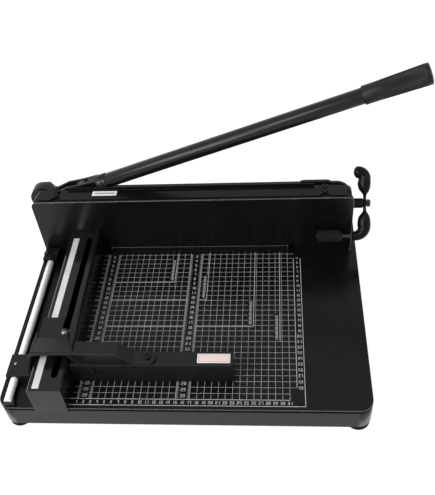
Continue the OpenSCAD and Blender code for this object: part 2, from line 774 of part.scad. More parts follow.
module rear_plate_bolts() placed() color("#8d8d90") for (x = column_mid_xs, z = rear_bolt_zs)
    translate([x, rear_back_y, z]) rotate([-90, 0, 0]) screw(bolt, rear_t + rear_bolt_l);

module pivot_bolt() placed() color("#9a9a9c") difference() {
    union() {
        y_cyl(pivot_r, pivot_x, [boss_y, rear_back_y + eps], pivot_z);
        translate([pivot_x, rear_back_y, pivot_z]) rotate([-90, 0, 0]) cylinder(r = pivot_r + 5, h = 7, $fn = 6);
    }
    y_cyl(2, pivot_x, [boss_y - 1, boss_y + 8], pivot_z);
}

// A disc and a flush screw hold the lever on its bolt
module pivot_washer() placed() color("#a8a8aa") {
    y_cyl(pivot_r + 3, pivot_x, [boss_y - rub_gap - washer_t, boss_y - rub_gap], pivot_z);
    y_cyl(2 - seat_fit, pivot_x, [boss_y - rub_gap - eps, boss_y + 7], pivot_z);
    y_cyl(pivot_r - 2, pivot_x, [boss_y - rub_gap - eps, boss_y], pivot_z);
}

module shaft_bushes() placed() color("#b08a3e")
    for (c = [[column_left_x, column_w], [column_right_x, column_right_w]])
    difference() {
        x_cyl(bush_r, [c[0], c[0] + c[1]], shaft_y, crank_z);
        x_cyl(shaft_r + run_fit, [c[0] - 1, c[0] + c[1] + 1], shaft_y, crank_z);
    }

// Lever, drawn along its own frame

module lever_casting() placed() color("#141517") lever_frame() difference() {
    union() {
        y_cyl(boss_r, 0, [-lever_half, lever_half], 0);
        xz_plate([-lever_half, lever_half]) casting_outline();
        lever_turned(socket_x) cylinder(r = socket_r, h = socket_end - socket_x);
    }
    block([boss_r + 1, fork_end], [-fork_half, fork_half], [-far, far]);
    y_cyl(pivot_r + run_fit, 0, [-lever_half - 1, lever_half + 1], 0);
    y_cyl(pin_r + seat_fit, pin_run, [-lever_half - 1, lever_half + 1], -tube_drop);
    lever_turned(socket_end - tube_in) cylinder(r = tube_r + seat_fit, h = far);
}

// From the front: a dip beside the boss, a hump over the drive pin, then a neck to the tube's socket
module casting_outline() polygon([
    [0, boss_r * 0.6], [boss_r + 1, 3.5], [pin_run * 0.5, 4.5], [pin_run * 0.75, 6.5], [pin_run, 4],
    [fork_end, tube_r - tube_drop], [socket_x + 2, tube_r - tube_drop - 1],
    [socket_x + 2, -tube_drop - 8], [fork_end + 3, -tube_drop - 9],
    [pin_run, -tube_drop - 13], [pin_run * 0.6, -tube_drop - 10],
    [boss_r, -tube_drop - 3], [0, -boss_r * 0.6]]);

module drive_pin() placed() color("#9a9a9c") lever_frame()
    y_cyl(pin_r, pin_run, [-lever_half, lever_half], -tube_drop);

module tube_collar() placed() color("#1a1b1d") lever_frame() difference() {
    lever_turned(socket_end) rotate_extrude() polygon([[0, 0], [collar_r - 1, 0], [collar_r, 1],
        [collar_r, collar_len - 1], [collar_r - 1, collar_len], [0, collar_len]]);
    lever_turned(socket_end - 1) cylinder(r = tube_r + seat_fit, h = collar_len + 2);
}

module handle_tube() placed() color("#1c1d1f") lever_frame() difference() {
    lever_turned(socket_end - tube_in) cylinder(r = tube_r, h = lever_l - cap_l - socket_end + tube_in);
    lever_turned(socket_end - tube_in - 1) cylinder(r = tube_r - tube_wall, h = far);
}

module handle_grip() placed() color("#0f0f10") lever_frame() difference() {
    lever_turned(grip_start) rotate_extrude() polygon([[0, 0], [grip_r0 - 1, 0], [grip_r0, 1.5],
        [grip_r0, grip_l * 0.25], [grip_r1, grip_l - cap_l], [0, grip_l - cap_l]]);
    lever_turned(grip_start - 1) cylinder(r = tube_r + seat_fit, h = far);
}

module grip_cap() placed() color("#0c0c0d") lever_frame() union() {
    lever_turned(lever_l - cap_l) rotate_extrude() polygon([[0, 0], [grip_r1, 0], [grip_r1, cap_l - bevel],
        [grip_r1 - bevel, cap_l], [0, cap_l]]);
    lever_turned(lever_l - cap_l - 10) cylinder(r = tube_r - tube_wall - seat_fit, h = 10 + eps);
}

// Blade and its carrier

module blade() placed() color("#c4c6c9") difference() {
    yz_bar([window_x - blade_over, window_x1 + blade_over - 3]) polygon([[0, edge_gap], [blade_t, edge_gap + bevel_h],
        [blade_t, edge_gap + blade_h], [0, edge_gap + blade_h]]);
    for (x = blade_screw_xs) {
        y_cyl(hole_r(blade_screw), x, [-1, blade_t + 1], blade_screw_z);
        y_cyl(sink_r(blade_screw), x, [-1, blade_sink], blade_screw_z);
    }
}

module blade_screws() placed() color("#8d8d90") for (x = blade_screw_xs)
    translate([x, blade_sink, blade_screw_z]) rotate([90, 0, 0]) screw(blade_screw, blade_t + carrier_t - 5);

module blade_carrier() placed() color("#3a3b3f") difference() {
    block([carrier_x0, carrier_x1], [carrier_y, lug_y], [carrier_z, carrier_top_z]);
    for (x = blade_screw_xs) y_cyl(hole_r(blade_screw), x, [carrier_y - 1, lug_y - 2], blade_screw_z);
    for (x = lug_screw_xs) y_cyl(hole_r(mid_screw), x, [lug_y - 7, lug_y + 1], stud_z);
    for (x = stud_xs) y_cyl(stud_root_r + seat_fit, x, [carrier_y + 1, lug_y + 1], stud_z);
}

// The lug's slot lies square to the carrier's path, so the pin's arc is taken up along it
module drive_lug() placed() color("#55565a") difference() {
    xz_plate([lug_y, lug_y + lug_t]) difference() {
        union() {
            translate([pin_x - stem_half, lug_flange_z0]) square([2 * stem_half, pin_z - lug_flange_z0]);
            translate([pin_x - stem_half, lug_flange_z0])
                square([lug_flange_x1 - pin_x + stem_half, lug_flange_z1 - lug_flange_z0]);
            pin_slot_shape(lug_head_r);
        }
        pin_slot_shape(pin_slot_half);
    }
    for (x = lug_screw_xs) {
        y_cyl(hole_r(mid_screw), x, [lug_y - 1, lug_y + lug_t + 1], stud_z);
        y_cyl(sink_r(mid_screw), x, [lug_y + lug_t - lug_sink, lug_y + lug_t + 1], stud_z);
    }
}

module pin_slot_shape(r) translate([pin_x, pin_z]) rotate(stroke_a - 90) {
    circle(r = r);
    translate([arc_bulge, 0]) circle(r = r);
    translate([0, -r]) square([arc_bulge, 2 * r]);
}

module lug_screws() placed() color("#8d8d90") for (x = lug_screw_xs)
    translate([x, lug_y + lug_t - lug_sink, stud_z]) rotate([-90, 0, 0]) screw(mid_screw, lug_t + 2);

module guide_studs() placed() color("#9a9a9c") for (x = stud_xs) {
    y_cyl(stud_root_r, x, [carrier_y + 2, lug_y + eps], stud_z);
    y_cyl(stud_seat_r, x, [lug_y, rear_y - rub_gap], stud_z);
    y_cyl(stud_r, x, [rear_y - rub_gap - eps, rear_back_y + rub_gap], stud_z);
    y_cyl(stud_tail_r, x, [rear_back_y, rear_back_y + stud_tail], stud_z);
}

module guide_nuts() placed() color("#a8a8aa") for (x = stud_xs) difference() {
    union() {
        y_cyl(stud_seat_r + 1, x, [rear_back_y + rub_gap, rear_back_y + rub_gap + stud_washer_t], stud_z);
        translate([x, rear_back_y + rub_gap + stud_washer_t - eps, stud_z]) rotate([-90, 0, 0])
            cylinder(r = stud_seat_r, h = stud_nut_t, $fn = 6);
    }
    y_cyl(stud_tail_r + seat_fit, x, [rear_back_y - 1, rear_back_y + stud_tail + 2], stud_z);
}

// Clamp

module clamp_foot() placed() color("#18191b") block(
    [window_x + foot_bar_in + 2, window_x1 - foot_bar_in + 2], [cover_y - 0.5, beam_back_y], [foot_z, beam_z]);

module clamp_beam() placed() color("#303135") difference() {
    block([rack_left_x - 2, rack_right_x + rack_w + 2], [beam_y, beam_back_y], [beam_z, beam_z + beam_h]);
    for (x = rack_xs, z = rack_screw_zs) y_cyl(hole_r(small_screw), x + rack_w / 2, [beam_y - 1, beam_y + 9], z);
}

module clamp_face() placed() color("#121315") block(
    [window_x - 7, window_x1 + 7], [clamp_y, beam_y], [beam_z, window_h + face_over]);

module clamp_racks() placed() color("#5b5c60") for (x = rack_xs) difference() {
    union() {
        yz_bar([x, x + rack_w]) rack_section();
        block([x, x + rack_w], [clamp_y, beam_y], [beam_z, beam_z + beam_h]);
    }
    for (z = rack_screw_zs) {
        y_cyl(hole_r(small_screw), x + rack_w / 2, [clamp_y - 1, beam_y + 1], z);
        y_cyl(sink_r(small_screw), x + rack_w / 2, [clamp_y - 1, clamp_y + rack_sink], z);
    }
}

// Teeth face backwards, and a gap between two teeth meets the pinion's front tooth at rest
module rack_section() {
    root_y = rack_pitch_y - dedendum;
    half = tooth_pitch / 4 - backlash;
    count = floor((rack_top_z - teeth_low_z) / tooth_pitch);
    first_z = crank_z - (floor((crank_z - teeth_low_z) / tooth_pitch) - 0.5) * tooth_pitch;
    translate([clamp_y, beam_z]) square([root_y - clamp_y, rack_top_z - beam_z]);
    for (i = [0:count - 2]) translate([0, first_z + i * tooth_pitch]) polygon([
        [root_y - eps, -half - dedendum * tan(pressure_a)], [rack_tip_y, -half + addendum * tan(pressure_a)],
        [rack_tip_y, half - addendum * tan(pressure_a)], [root_y - eps, half + dedendum * tan(pressure_a)]]);
}

module rack_screws() placed() color("#8d8d90") for (x = rack_xs, z = rack_screw_zs)
    translate([x + rack_w / 2, clamp_y + rack_sink, z]) rotate([90, 0, 0]) screw(small_screw, face_t + 6);

// Cross shaft, pinions and crank

module clamp_shaft() placed() color("#a0a0a3")
    x_cyl(shaft_r, [column_left_x, web_x + web_t + nut_l + 1], shaft_y, crank_z);

// Angle in degrees that an involute has turned through at radius r
function involute_turn(r) = let (base = pitch_r * cos(pressure_a), a = acos(min(1, base / r)))
    tan(a) * 180 / PI - a;
function tooth_half_angle(r) =
    90 / gear_z + involute_turn(pitch_r) - involute_turn(r) - backlash / pitch_r * 180 / PI;
function polar(r, a) = [-r * cos(a), r * sin(a)];

module pinion_outline() {
    root_r = pitch_r - dedendum;
    base_r = pitch_r * cos(pressure_a);
    tip_r = pitch_r + addendum;
    flank = [max(root_r, base_r), pitch_r, tip_r];
    circle(r = root_r + eps);
    for (i = [0:gear_z - 1]) rotate(i * 360 / gear_z) polygon(concat(
        [polar(root_r - 0.5, -tooth_half_angle(flank[0]))],
        [for (r = flank) polar(r, -tooth_half_angle(r))],
        [for (k = [len(flank) - 1:-1:0]) polar(flank[k], tooth_half_angle(flank[k]))],
        [polar(root_r - 0.5, tooth_half_angle(flank[0]))]));
}

module clamp_pinions() placed() color("#77787c") for (x = rack_xs) difference() {
    union() {
        translate([0, shaft_y, crank_z]) yz_bar([x + 1, x + rack_w - 1]) pinion_outline();
        x_cyl(bush_r, [x - 2, x + rack_w + 2], shaft_y, crank_z);
    }
    x_cyl(shaft_r + seat_fit, [x - 3, x + rack_w + 3], shaft_y, crank_z);
}

module crank_collar() placed() color("#1b1c1e") difference() {
    union() {
        x_cyl(crank_collar_r - 0.6, [head_x1 + 1, web_x], shaft_y, crank_z);
        for (i = [0:4]) x_cyl(crank_collar_r,
            [head_x1 + 1 + (i + 0.15) * collar_l / 5, head_x1 + 1 + (i + 0.85) * collar_l / 5], shaft_y, crank_z);
    }
    x_cyl(shaft_r + seat_fit, [head_x1, web_x + 1], shaft_y, crank_z);
}

// One lobe from the web outwards: it swells, bends over towards the head and ends round at end_x
function arc(c, r, a0, a1) = [for (i = [0:arc_steps]) let (a = a0 + (a1 - a0) * i / arc_steps)
    [c.x + r * cos(a), c.y + r * sin(a)]];
function lobe_points(arm, end_x) = let (
    tip_x = end_x + lobe_t / 2, bend = lobe_out_x - lobe_t - end_x, c = arm - bend) concat(
    [[web_x + web_t, web_half], [lobe_out_x, c - lobe_run]],
    arc([tip_x, c], bend + lobe_t / 2, 0, 90),
    arc([tip_x, arm], lobe_t / 2, 90, 270),
    arc([tip_x, c], bend - lobe_t / 2, 90, 0),
    [[lobe_out_x - lobe_t, c - lobe_run], [web_x, web_half]]);

// The upper lobe keeps clear of the head's end, past which it swings
module crank_outline() {
    low = lobe_points(knob_arm, low_end_x);
    polygon(concat(lobe_points(high_arm, high_end_x), [for (i = [len(low) - 1:-1:0]) [low[i].x, -low[i].y]]));
}

module crank() placed() color("#131416") crank_frame() difference() {
    intersection() {
        xz_plate([-arm_w / 2, arm_w / 2]) crank_outline();
        yz_bar([low_end_x - 1, lobe_out_x + 1]) round_rect([-arm_w / 2, arm_w / 2],
            [-knob_arm - lobe_t / 2, high_arm + lobe_t / 2], arm_w / 2 - 1);
    }
    x_cyl(shaft_r + seat_fit, [head_x1, web_x + web_t + 1], 0, 0);
    x_cyl(knob_pin_r + seat_fit, [low_end_x - 1, pin_end_x], 0, -knob_arm);
}

module crank_nut() placed() color("#2a2a2c") difference() {
    translate([web_x + web_t, shaft_y, crank_z]) rotate([0, 90, 0]) cylinder(r = shaft_r + 2.5, h = nut_l, $fn = 6);
    x_cyl(shaft_r + seat_fit, [web_x, web_x + web_t + nut_l + 2], shaft_y, crank_z);
}

module knob_pin() placed() color("#a8a8aa") crank_frame() {
    x_cyl(knob_pin_r, [knob_x0 + 1, pin_end_x], 0, -knob_arm);
    x_cyl(knob_pin_r + 2, [knob_x0 + 1, knob_x0 + 3], 0, -knob_arm);
    x_cyl(knob_pin_r + 1.5, [knob_x1 + rub_gap, knob_x1 + rub_gap + 2], 0, -knob_arm);
}

module crank_knob() placed() color("#101011") crank_frame() translate([knob_x0, 0, -knob_arm]) rotate([0, 90, 0])
    difference() {
        rotate_extrude() polygon([[0, 0], [knob_r - 2, 0], [knob_r, 2],
            [knob_r, knob_l - 2], [knob_r - 2, knob_l], [0, knob_l]]);
        for (i = [0:15]) rotate(i * 360 / 16) translate([knob_r + 0.5, 0, 4])
            cylinder(r = 1.3, h = knob_l - 8, $fn = 24);
        translate([0, 0, -1]) cylinder(r = knob_pin_r + run_fit, h = knob_l + 2);
        translate([0, 0, -1]) cylinder(r = knob_pin_r + 2 + rub_gap, h = 4 + rub_gap);
    }

// Pusher

module pusher_bar() placed() color("#1a1b1e") difference() {
    block([bar_x, bar_x + bar_l], [bar_y0, bar_y1], [bar_z, bar_top_z]);
    block([bar_x + bar_wall, bar_x + bar_l - bar_wall], [bar_y0 + bar_wall, bar_y1 - bar_wall],
        [bar_z - 1, bar_top_z - bar_wall]);
    z_cyl(hole_r(mid_screw), tongue_screw_x, (arm_y0 + arm_y1) / 2, [0, far]);
    y_cyl(hole_r(mid_screw), bar_screw_x, [bar_y0 - 1, bar_y0 + bar_wall + 1], bar_screw_z);
}

// The arm seen from the front: leg beside the slider, strap over the side lay, gusset, slope and tongue
module arm_outline() {
    slope = strap_z - bar_top_z - tongue_t;
    low_slope = strap_low_z - bar_top_z;
    polygon([
        [tongue_screw_x, bar_top_z], [tongue_screw_x, bar_top_z + tongue_t], [strap_l + slope, bar_top_z + tongue_t],
        [strap_l, strap_z], [leg_x0 + 10, strap_z], [leg_x0 + 3, strap_z - 3], [leg_x0, strap_z - 10],
        [slider_x1, slider_top_z + 8], [slider_x1, slider_z + 1], [slider_x1 + strap_t, slider_z + 1],
        [slider_x1 + strap_t, slider_top_z + 7], [leg_x1, strap_low_z - 7], [leg_x1 + 2, strap_low_z - 2],
        [leg_x1 + 7, strap_low_z], [1, strap_low_z], [low_slope * 0.7, bar_top_z], [low_slope * 0.7 + 6, bar_top_z],
        [7, strap_low_z], [strap_l - 2.5, strap_low_z], [strap_l - 2.5 + low_slope, bar_top_z]]);
}

// The same outline from x to the right, or to the left
module arm_right_of(x) intersection() {
    arm_outline();
    translate([x, 0]) square(far);
}

module arm_left_of(x) intersection() {
    arm_outline();
    translate([x - far, 0]) square(far);
}

// The leg from the side: it spreads backwards from the slider up to the saddle
module leg_side() polygon([
    [arm_y0, slider_z], [slider_y1 - 2, slider_z], [slider_y1 - 2, slider_top_z + 8], [leg_back_y, saddle_z],
    [leg_back_y, saddle_top_z], [saddle_y0, saddle_top_z], [arm_y0 + rim_d, strap_z], [arm_y0, strap_z]]);

module pusher_arm() placed() color("#151618") difference() {
    union() {
        xz_plate([arm_y0, arm_y1]) arm_right_of(saddle_x1);
        xz_plate([arm_y0, arm_y0 + rim_d]) arm_outline();
        intersection() {
            xz_plate([arm_y0, leg_back_y]) arm_left_of(leg_x1);
            yz_bar([slider_x1 - 1, leg_x1 + 1]) leg_side();
        }
        z_cyl(strap_d / 2, tongue_screw_x, (arm_y0 + arm_y1) / 2, [bar_top_z, bar_top_z + tongue_t]);
    }
    z_cyl(hole_r(mid_screw), tongue_screw_x, (arm_y0 + arm_y1) / 2, [0, far]);
    for (y = leg_screw_ys) {
        x_cyl(hole_r(small_screw), [slider_x1 - 1, slider_x1 + strap_t + 1], y, leg_screw_z);
        x_cyl(sink_r(small_screw), [slider_x1 + strap_t - leg_sink, slider_x1 + strap_t + 1], y, leg_screw_z);
    }
}

// The saddle slopes from the arm's rim down to a plate on the side lay, where the lock bolt clamps it
module pusher_horn() placed() color("#232427") difference() {
    intersection() {
        yz_bar([leg_x1, saddle_x1]) polygon([
            [arm_y0 + rim_d, strap_z], [saddle_y0, saddle_top_z], [saddle_y1, saddle_top_z], [saddle_y1, saddle_z],
            [saddle_y0 - 3, saddle_z], [arm_y0 + rim_d, strap_low_z]]);
        linear_extrude(far) {
            polygon([[leg_x1, arm_y0], [saddle_x1, arm_y0], [saddle_x1, arm_y0 + rim_d],
                [slot_x + saddle_lobe_r, lock_y - saddle_lobe_r], [slot_x + saddle_lobe_r, lock_y],
                [saddle_rear_x, lock_y + 9], [saddle_rear_x, saddle_y1], [leg_x1, saddle_y1]]);
            translate([slot_x, lock_y]) circle(r = saddle_lobe_r);
        }
    }
    z_cyl(lock_r + run_fit, slot_x, lock_y, [0, far]);
}

module rod_slider() placed() color("#17181a") difference() {
    block([slider_x0, slider_x1], [slider_y0, slider_y1], [slider_z, slider_top_z]);
    y_cyl(rod_r + run_fit, rod_x, [slider_y0 - 1, slider_y1 + 1], rod_z);
    for (y = leg_screw_ys) x_cyl(hole_r(small_screw), [slider_x1 - 9, slider_x1 + 1], y, leg_screw_z);
}

module pusher_screws() placed() color("#8d8d90") {
    translate([tongue_screw_x, (arm_y0 + arm_y1) / 2, bar_top_z + tongue_t])
        screw(mid_screw, tongue_t + bar_wall + 2);
    for (y = leg_screw_ys) translate([slider_x1 + strap_t - leg_sink, y, leg_screw_z]) rotate([0, 90, 0])
        screw(small_screw, strap_t - leg_sink + 8);
    translate([bar_screw_x, bar_y0, bar_screw_z]) rotate([90, 0, 0]) screw(mid_screw, bar_wall + 2);
}

module slot_nut() placed() color("#8d8d90") difference() {
    block([slot_x - nut_half_w, slot_x + nut_half_w], [lock_y - nut_half_l, lock_y + nut_half_l],
        [lay_h - lay_top - rub_gap - nut_h, lay_h - lay_top - rub_gap]);
    z_cyl(lock_r + run_fit, slot_x, lock_y, [0, far]);
}

module lock_bolt() placed() color("#e0e0e0") {
    z_cyl(lock_r, slot_x, lock_y, [lay_h - lay_top - rub_gap - nut_h, saddle_top_z + rub_gap + eps]);
    translate([slot_x, lock_y, saddle_top_z + rub_gap]) rotate_extrude() intersection() {
        translate([0, -lock_head_r * 0.6]) circle(r = lock_head_r * 1.17);
        square([lock_head_r, far]);
    }
}

base_tray();
table_plate();
rubber_feet();
foot_screws();
cutting_stick();
side_lay();
side_lay_screws();
scale_strip();
guide_rod();
rod_holder_rear();
rod_holder_front();
rod_holder_screws();
left_column();
right_column();
column_bolts();
front_cover();
cover_screws();
top_plate();
top_plate_screws();
rear_plate();
rear_plate_bolts();
pivot_bolt();
pivot_washer();
shaft_bushes();
lever_casting();
drive_pin();
tube_collar();
handle_tube();
handle_grip();
grip_cap();
blade();
blade_screws();
blade_carrier();
drive_lug();
lug_screws();
guide_studs();
guide_nuts();
clamp_foot();
clamp_beam();
clamp_face();
clamp_racks();
rack_screws();
clamp_shaft();
clamp_pinions();
crank_collar();
crank();
crank_nut();
knob_pin();
crank_knob();
pusher_bar();
pusher_arm();
pusher_horn();
rod_slider();
pusher_screws();
slot_nut();
lock_bolt();
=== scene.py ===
import json
import math

import bmesh
import bpy
from mathutils import Euler, Matrix, Vector


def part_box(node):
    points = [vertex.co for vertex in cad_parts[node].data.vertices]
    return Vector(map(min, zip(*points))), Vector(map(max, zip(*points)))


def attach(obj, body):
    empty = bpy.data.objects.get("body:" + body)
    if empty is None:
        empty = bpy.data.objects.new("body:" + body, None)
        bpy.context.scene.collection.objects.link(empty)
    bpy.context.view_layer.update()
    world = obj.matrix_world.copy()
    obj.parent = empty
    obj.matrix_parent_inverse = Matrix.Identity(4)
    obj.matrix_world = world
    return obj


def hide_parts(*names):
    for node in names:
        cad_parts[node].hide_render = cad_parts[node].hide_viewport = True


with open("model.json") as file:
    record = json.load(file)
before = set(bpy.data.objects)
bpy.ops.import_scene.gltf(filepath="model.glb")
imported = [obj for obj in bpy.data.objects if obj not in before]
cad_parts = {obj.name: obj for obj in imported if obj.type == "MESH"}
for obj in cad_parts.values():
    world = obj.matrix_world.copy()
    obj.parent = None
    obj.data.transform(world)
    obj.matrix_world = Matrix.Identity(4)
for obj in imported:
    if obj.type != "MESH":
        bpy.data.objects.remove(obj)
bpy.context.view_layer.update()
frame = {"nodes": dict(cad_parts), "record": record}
NODES = frame["nodes"]
RECORD = frame["record"]
SCENE = bpy.context.scene
MM = 0.001
UP = (0, 0, 1)
FRONT = (0, -1, 0)

# The datum: X = 0 on the side lay's face, Y = 0 on the cut line and Z = 0 on the table top
DATUM = Vector((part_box("side_lay")[1].x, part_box("blade")[0].y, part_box("table_plate")[1].z))


def at(x, y, z):
    """A point given in millimetres from the datum, in the part's own frame."""
    return DATUM + Vector((x, y, z)) * MM


def from_datum(node):
    """The lowest and highest corners of a node, in millimetres from the datum."""
    return [(corner - DATUM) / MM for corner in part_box(node)]


def height_of(node):
    """The top of a node above the table, in millimetres."""
    return from_datum(node)[1].z


def joint_place(name):
    """Where a joint's axis sits, in the part's own frame."""
    joint = next(j for j in RECORD["behaviour"]["joints"] if j["name"] == name)
    return Vector(joint["pos_m"])


# Shader nodes

# Most noise lies between these two values
NOISE_SPAN = (0.3, 0.7)
# Cosine between a face's normal and the softened one, where an edge is clean and where its edge colour is
# full: wear on most paints, a painted highlight on some
CLEAN_EDGE, WORN_AND_HIGHLIT_EDGE = 0.98, 0.8
BEVEL_SAMPLES = 4
# Patches of wear and of painted highlight in waves per metre, and how much finer patches of gloss are than
# patches of colour
WEAR_AND_HIGHLIGHT_GRAIN = 220.0
GLOSS_FINENESS = 2.3
RELIEF_DETAIL = 2.0
RELIEF_STRENGTH = 0.5
# Specular level of paint made dull as painted shade, and half the height over which the gloss fades, in
# metres
DULL_SPECULAR = 0.01
DULL_FADE = 0.0002


def node_of(tree, kind, **settings):
    """A new shader node with the given settings."""
    made = tree.nodes.new(kind)
    for key, value in settings.items():
        setattr(made, key, value)
    return made


def remap(tree, value, old, new):
    """Maps a value from one range to another."""
    made = node_of(tree, "ShaderNodeMapRange")
    for socket, limit in zip(("From Min", "From Max", "To Min", "To Max"), (*old, *new)):
        made.inputs[socket].default_value = limit
    tree.links.new(value, made.inputs["Value"])
    return made.outputs["Result"]


def combine(tree, operation, first, second):
    """The result of a plain operation on two values, each of them a socket or a number."""
    made = node_of(tree, "ShaderNodeMath", operation=operation)
    for socket, value in zip(made.inputs, (first, second)):
        if isinstance(value, float):
            socket.default_value = value
        else:
            tree.links.new(value, socket)
    return made.outputs["Value"]


def object_place(tree):
    """The X, Y and Z of a point on the surface, in object space."""
    coords = node_of(tree, "ShaderNodeTexCoord")
    parts = node_of(tree, "ShaderNodeSeparateXYZ")
    tree.links.new(coords.outputs["Object"], parts.inputs["Vector"])
    return parts.outputs


def noise(tree, scale, detail=3.0, stretch=(1.0, 1.0, 1.0)):
    """Noise in object space, whose scale is in waves per metre."""
    coords = node_of(tree, "ShaderNodeTexCoord")
    mapping = node_of(tree, "ShaderNodeMapping")
    mapping.inputs["Scale"].default_value = stretch
    texture = node_of(tree, "ShaderNodeTexNoise")
    texture.inputs["Scale"].default_value = scale
    texture.inputs["Detail"].default_value = detail
    tree.links.new(coords.outputs["Object"], mapping.inputs["Vector"])
    tree.links.new(mapping.outputs["Vector"], texture.inputs["Vector"])
    return texture.outputs["Fac"]


def spread(tree, value, low, high):
    """Maps a noise value to the range from low to high."""
    return remap(tree, value, NOISE_SPAN, (low, high))


def tint(tree, value, dark, light):
    """Blends two colours by a noise value."""
    mix = node_of(tree, "ShaderNodeMix", data_type="RGBA")
    mix.inputs["A"].default_value = (*dark, 1.0)
    mix.inputs["B"].default_value = (*light, 1.0)
    tree.links.new(spread(tree, value, 0.0, 1.0), mix.inputs["Factor"])
    return mix.outputs["Result"]


def edge_mask(tree, radius):
    """About 1 on the edges of a solid and 0 on its faces."""
    soft = node_of(tree, "ShaderNodeBevel", samples=BEVEL_SAMPLES)
    soft.inputs["Radius"].default_value = radius
    hard = node_of(tree, "ShaderNodeNewGeometry")
    dot = node_of(tree, "ShaderNodeVectorMath", operation="DOT_PRODUCT")
    tree.links.new(soft.outputs["Normal"], dot.inputs[0])
    tree.links.new(hard.outputs["Normal"], dot.inputs[1])
    return remap(tree, dot.outputs["Value"], (CLEAN_EDGE, WORN_AND_HIGHLIT_EDGE), (0.0, 1.0))


def beyond(tree, value, corner):
    """The value to the right of a corner or above it, and 0 elsewhere."""
    spot = object_place(tree)
    right = combine(tree, "GREATER_THAN", spot["X"], corner.x)
    higher = combine(tree, "GREATER_THAN", spot["Z"], corner.z)
    return combine(tree, "MULTIPLY", combine(tree, "MAXIMUM", right, higher), value)


def gloss_above(tree, height, specular):
    """The specular level above a height, and nearly none below it."""
    fade = (height - DULL_FADE, height + DULL_FADE)
    return remap(tree, object_place(tree)["Z"], fade, (DULL_SPECULAR, specular))


def finish(name, dark, light, rough, metallic=0.0, specular=0.5, blotch=40.0, peel=900.0, depth=0.00002,
           stretch=(1.0, 1.0, 1.0), wear_and_highlight=None, edge=0.0006, corner=None, patchy=0.1, dull_shade_below=None):
    """A material with blotches of colour, uneven gloss and a fine relief.

    With a colour for wear_and_highlight, its edges take that colour, all of them or only those past a corner:
    real wear on most paints, and a painted highlight on the cover, the table plate, the clamp foot and the
    knob. Below the height dull_shade_below, where one is given, the paint is made dull as painted shade.
    """
    made = bpy.data.materials.new(name)
    made.use_nodes = True
    tree = made.node_tree
    shader = tree.nodes["Principled BSDF"]
    colour = tint(tree, noise(tree, blotch, stretch=stretch), dark, light)
    if wear_and_highlight:
        worn_and_highlit = node_of(tree, "ShaderNodeMix", data_type="RGBA")
        worn_and_highlit.inputs["B"].default_value = (*wear_and_highlight, 1.0)
        mask = edge_mask(tree, edge)
        if corner:
            mask = beyond(tree, mask, corner)
        patches = spread(tree, noise(tree, WEAR_AND_HIGHLIGHT_GRAIN), patchy, 1.0)
        tree.links.new(combine(tree, "MULTIPLY", mask, patches), worn_and_highlit.inputs["Factor"])
        tree.links.new(colour, worn_and_highlit.inputs["A"])
        colour = worn_and_highlit.outputs["Result"]
    tree.links.new(colour, shader.inputs["Base Color"])
    gloss = spread(tree, noise(tree, blotch * GLOSS_FINENESS), *rough)
    tree.links.new(gloss, shader.inputs["Roughness"])
    bump = node_of(tree, "ShaderNodeBump")
    bump.inputs["Strength"].default_value = RELIEF_STRENGTH
    bump.inputs["Distance"].default_value = depth
    tree.links.new(noise(tree, peel, RELIEF_DETAIL, stretch), bump.inputs["Height"])
    tree.links.new(bump.outputs["Normal"], shader.inputs["Normal"])
    shader.inputs["Metallic"].default_value = metallic
    shader.inputs["Specular IOR Level"].default_value = specular
    if dull_shade_below is not None:
        tree.links.new(gloss_above(tree, dull_shade_below, specular), shader.inputs["Specular IOR Level"])
    return made


# Paints: each black is a dark and a light tone; widths of edges and depths of relief are in metres

GLOSS_BLACK = ((0.004, 0.004, 0.005), (0.006, 0.006, 0.007))
SATIN_BLACK = ((0.005, 0.005, 0.006), (0.008, 0.008, 0.009))
DEEP_BLACK = ((0.003, 0.003, 0.0035), (0.005, 0.005, 0.0055))
TABLE_BLACK = ((0.003, 0.003, 0.004), (0.005, 0.005, 0.006))
SCUFF = (0.05, 0.05, 0.052)
WIDE_EDGE = 0.0016
SMOOTH = 0.00001
GRAINY = 0.00008

# The cover's painted highlight, a light edge colour standing in for the reflection on its rounded bend, lies
# within this many millimetres of its right end and its top
COVER_RIM = 4
COVER_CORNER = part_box("front_cover")[1] - Vector((COVER_RIM, 0, COVER_RIM)) * MM
# The table plate's painted highlight along its top edge is this many millimetres high, with its corner past
# the right end; below it the edge is made dull as painted shade
TABLE_RIM = 1.8
TABLE_CORNER = Vector((1, 0, DATUM.z - TABLE_RIM * MM))

GLOSS = finish("gloss_black_paint", *GLOSS_BLACK, (0.14, 0.22), specular=0.24, wear_and_highlight=SCUFF)
# The cover's light edge colour is a painted highlight, not wear
COVER = finish("cover_black_paint", *DEEP_BLACK, (0.21, 0.27), specular=0.27,
               wear_and_highlight=(0.42, 0.42, 0.43), edge=WIDE_EDGE, patchy=0.7, corner=COVER_CORNER)
SATIN = finish("satin_black_paint", *SATIN_BLACK, (0.3, 0.42), specular=0.23, peel=1500.0, depth=0.00003,
               wear_and_highlight=SCUFF)
TUBE = finish("tube_black_paint", (0.004, 0.004, 0.005), (0.007, 0.007, 0.008), (0.2, 0.28), specular=0.26,
              wear_and_highlight=SCUFF)
LAY = finish("lay_black_paint", *SATIN_BLACK, (0.12, 0.2), specular=0.28, wear_and_highlight=SCUFF)
TABLE = finish("table_black_paint", *TABLE_BLACK, (0.2, 0.3), specular=0.155)
# The table plate's light top edge is a painted highlight, and its dull lower edge is painted shade
TABLE_TOP = finish("table_top_paint", *TABLE_BLACK, (0.2, 0.3), specular=0.155,
                   wear_and_highlight=(0.3, 0.3, 0.31), edge=WIDE_EDGE, patchy=0.7, corner=TABLE_CORNER,
                   dull_shade_below=TABLE_CORNER.z)
CRANK = finish("crank_black_paint", *DEEP_BLACK, (0.16, 0.24), specular=0.1, wear_and_highlight=SCUFF)
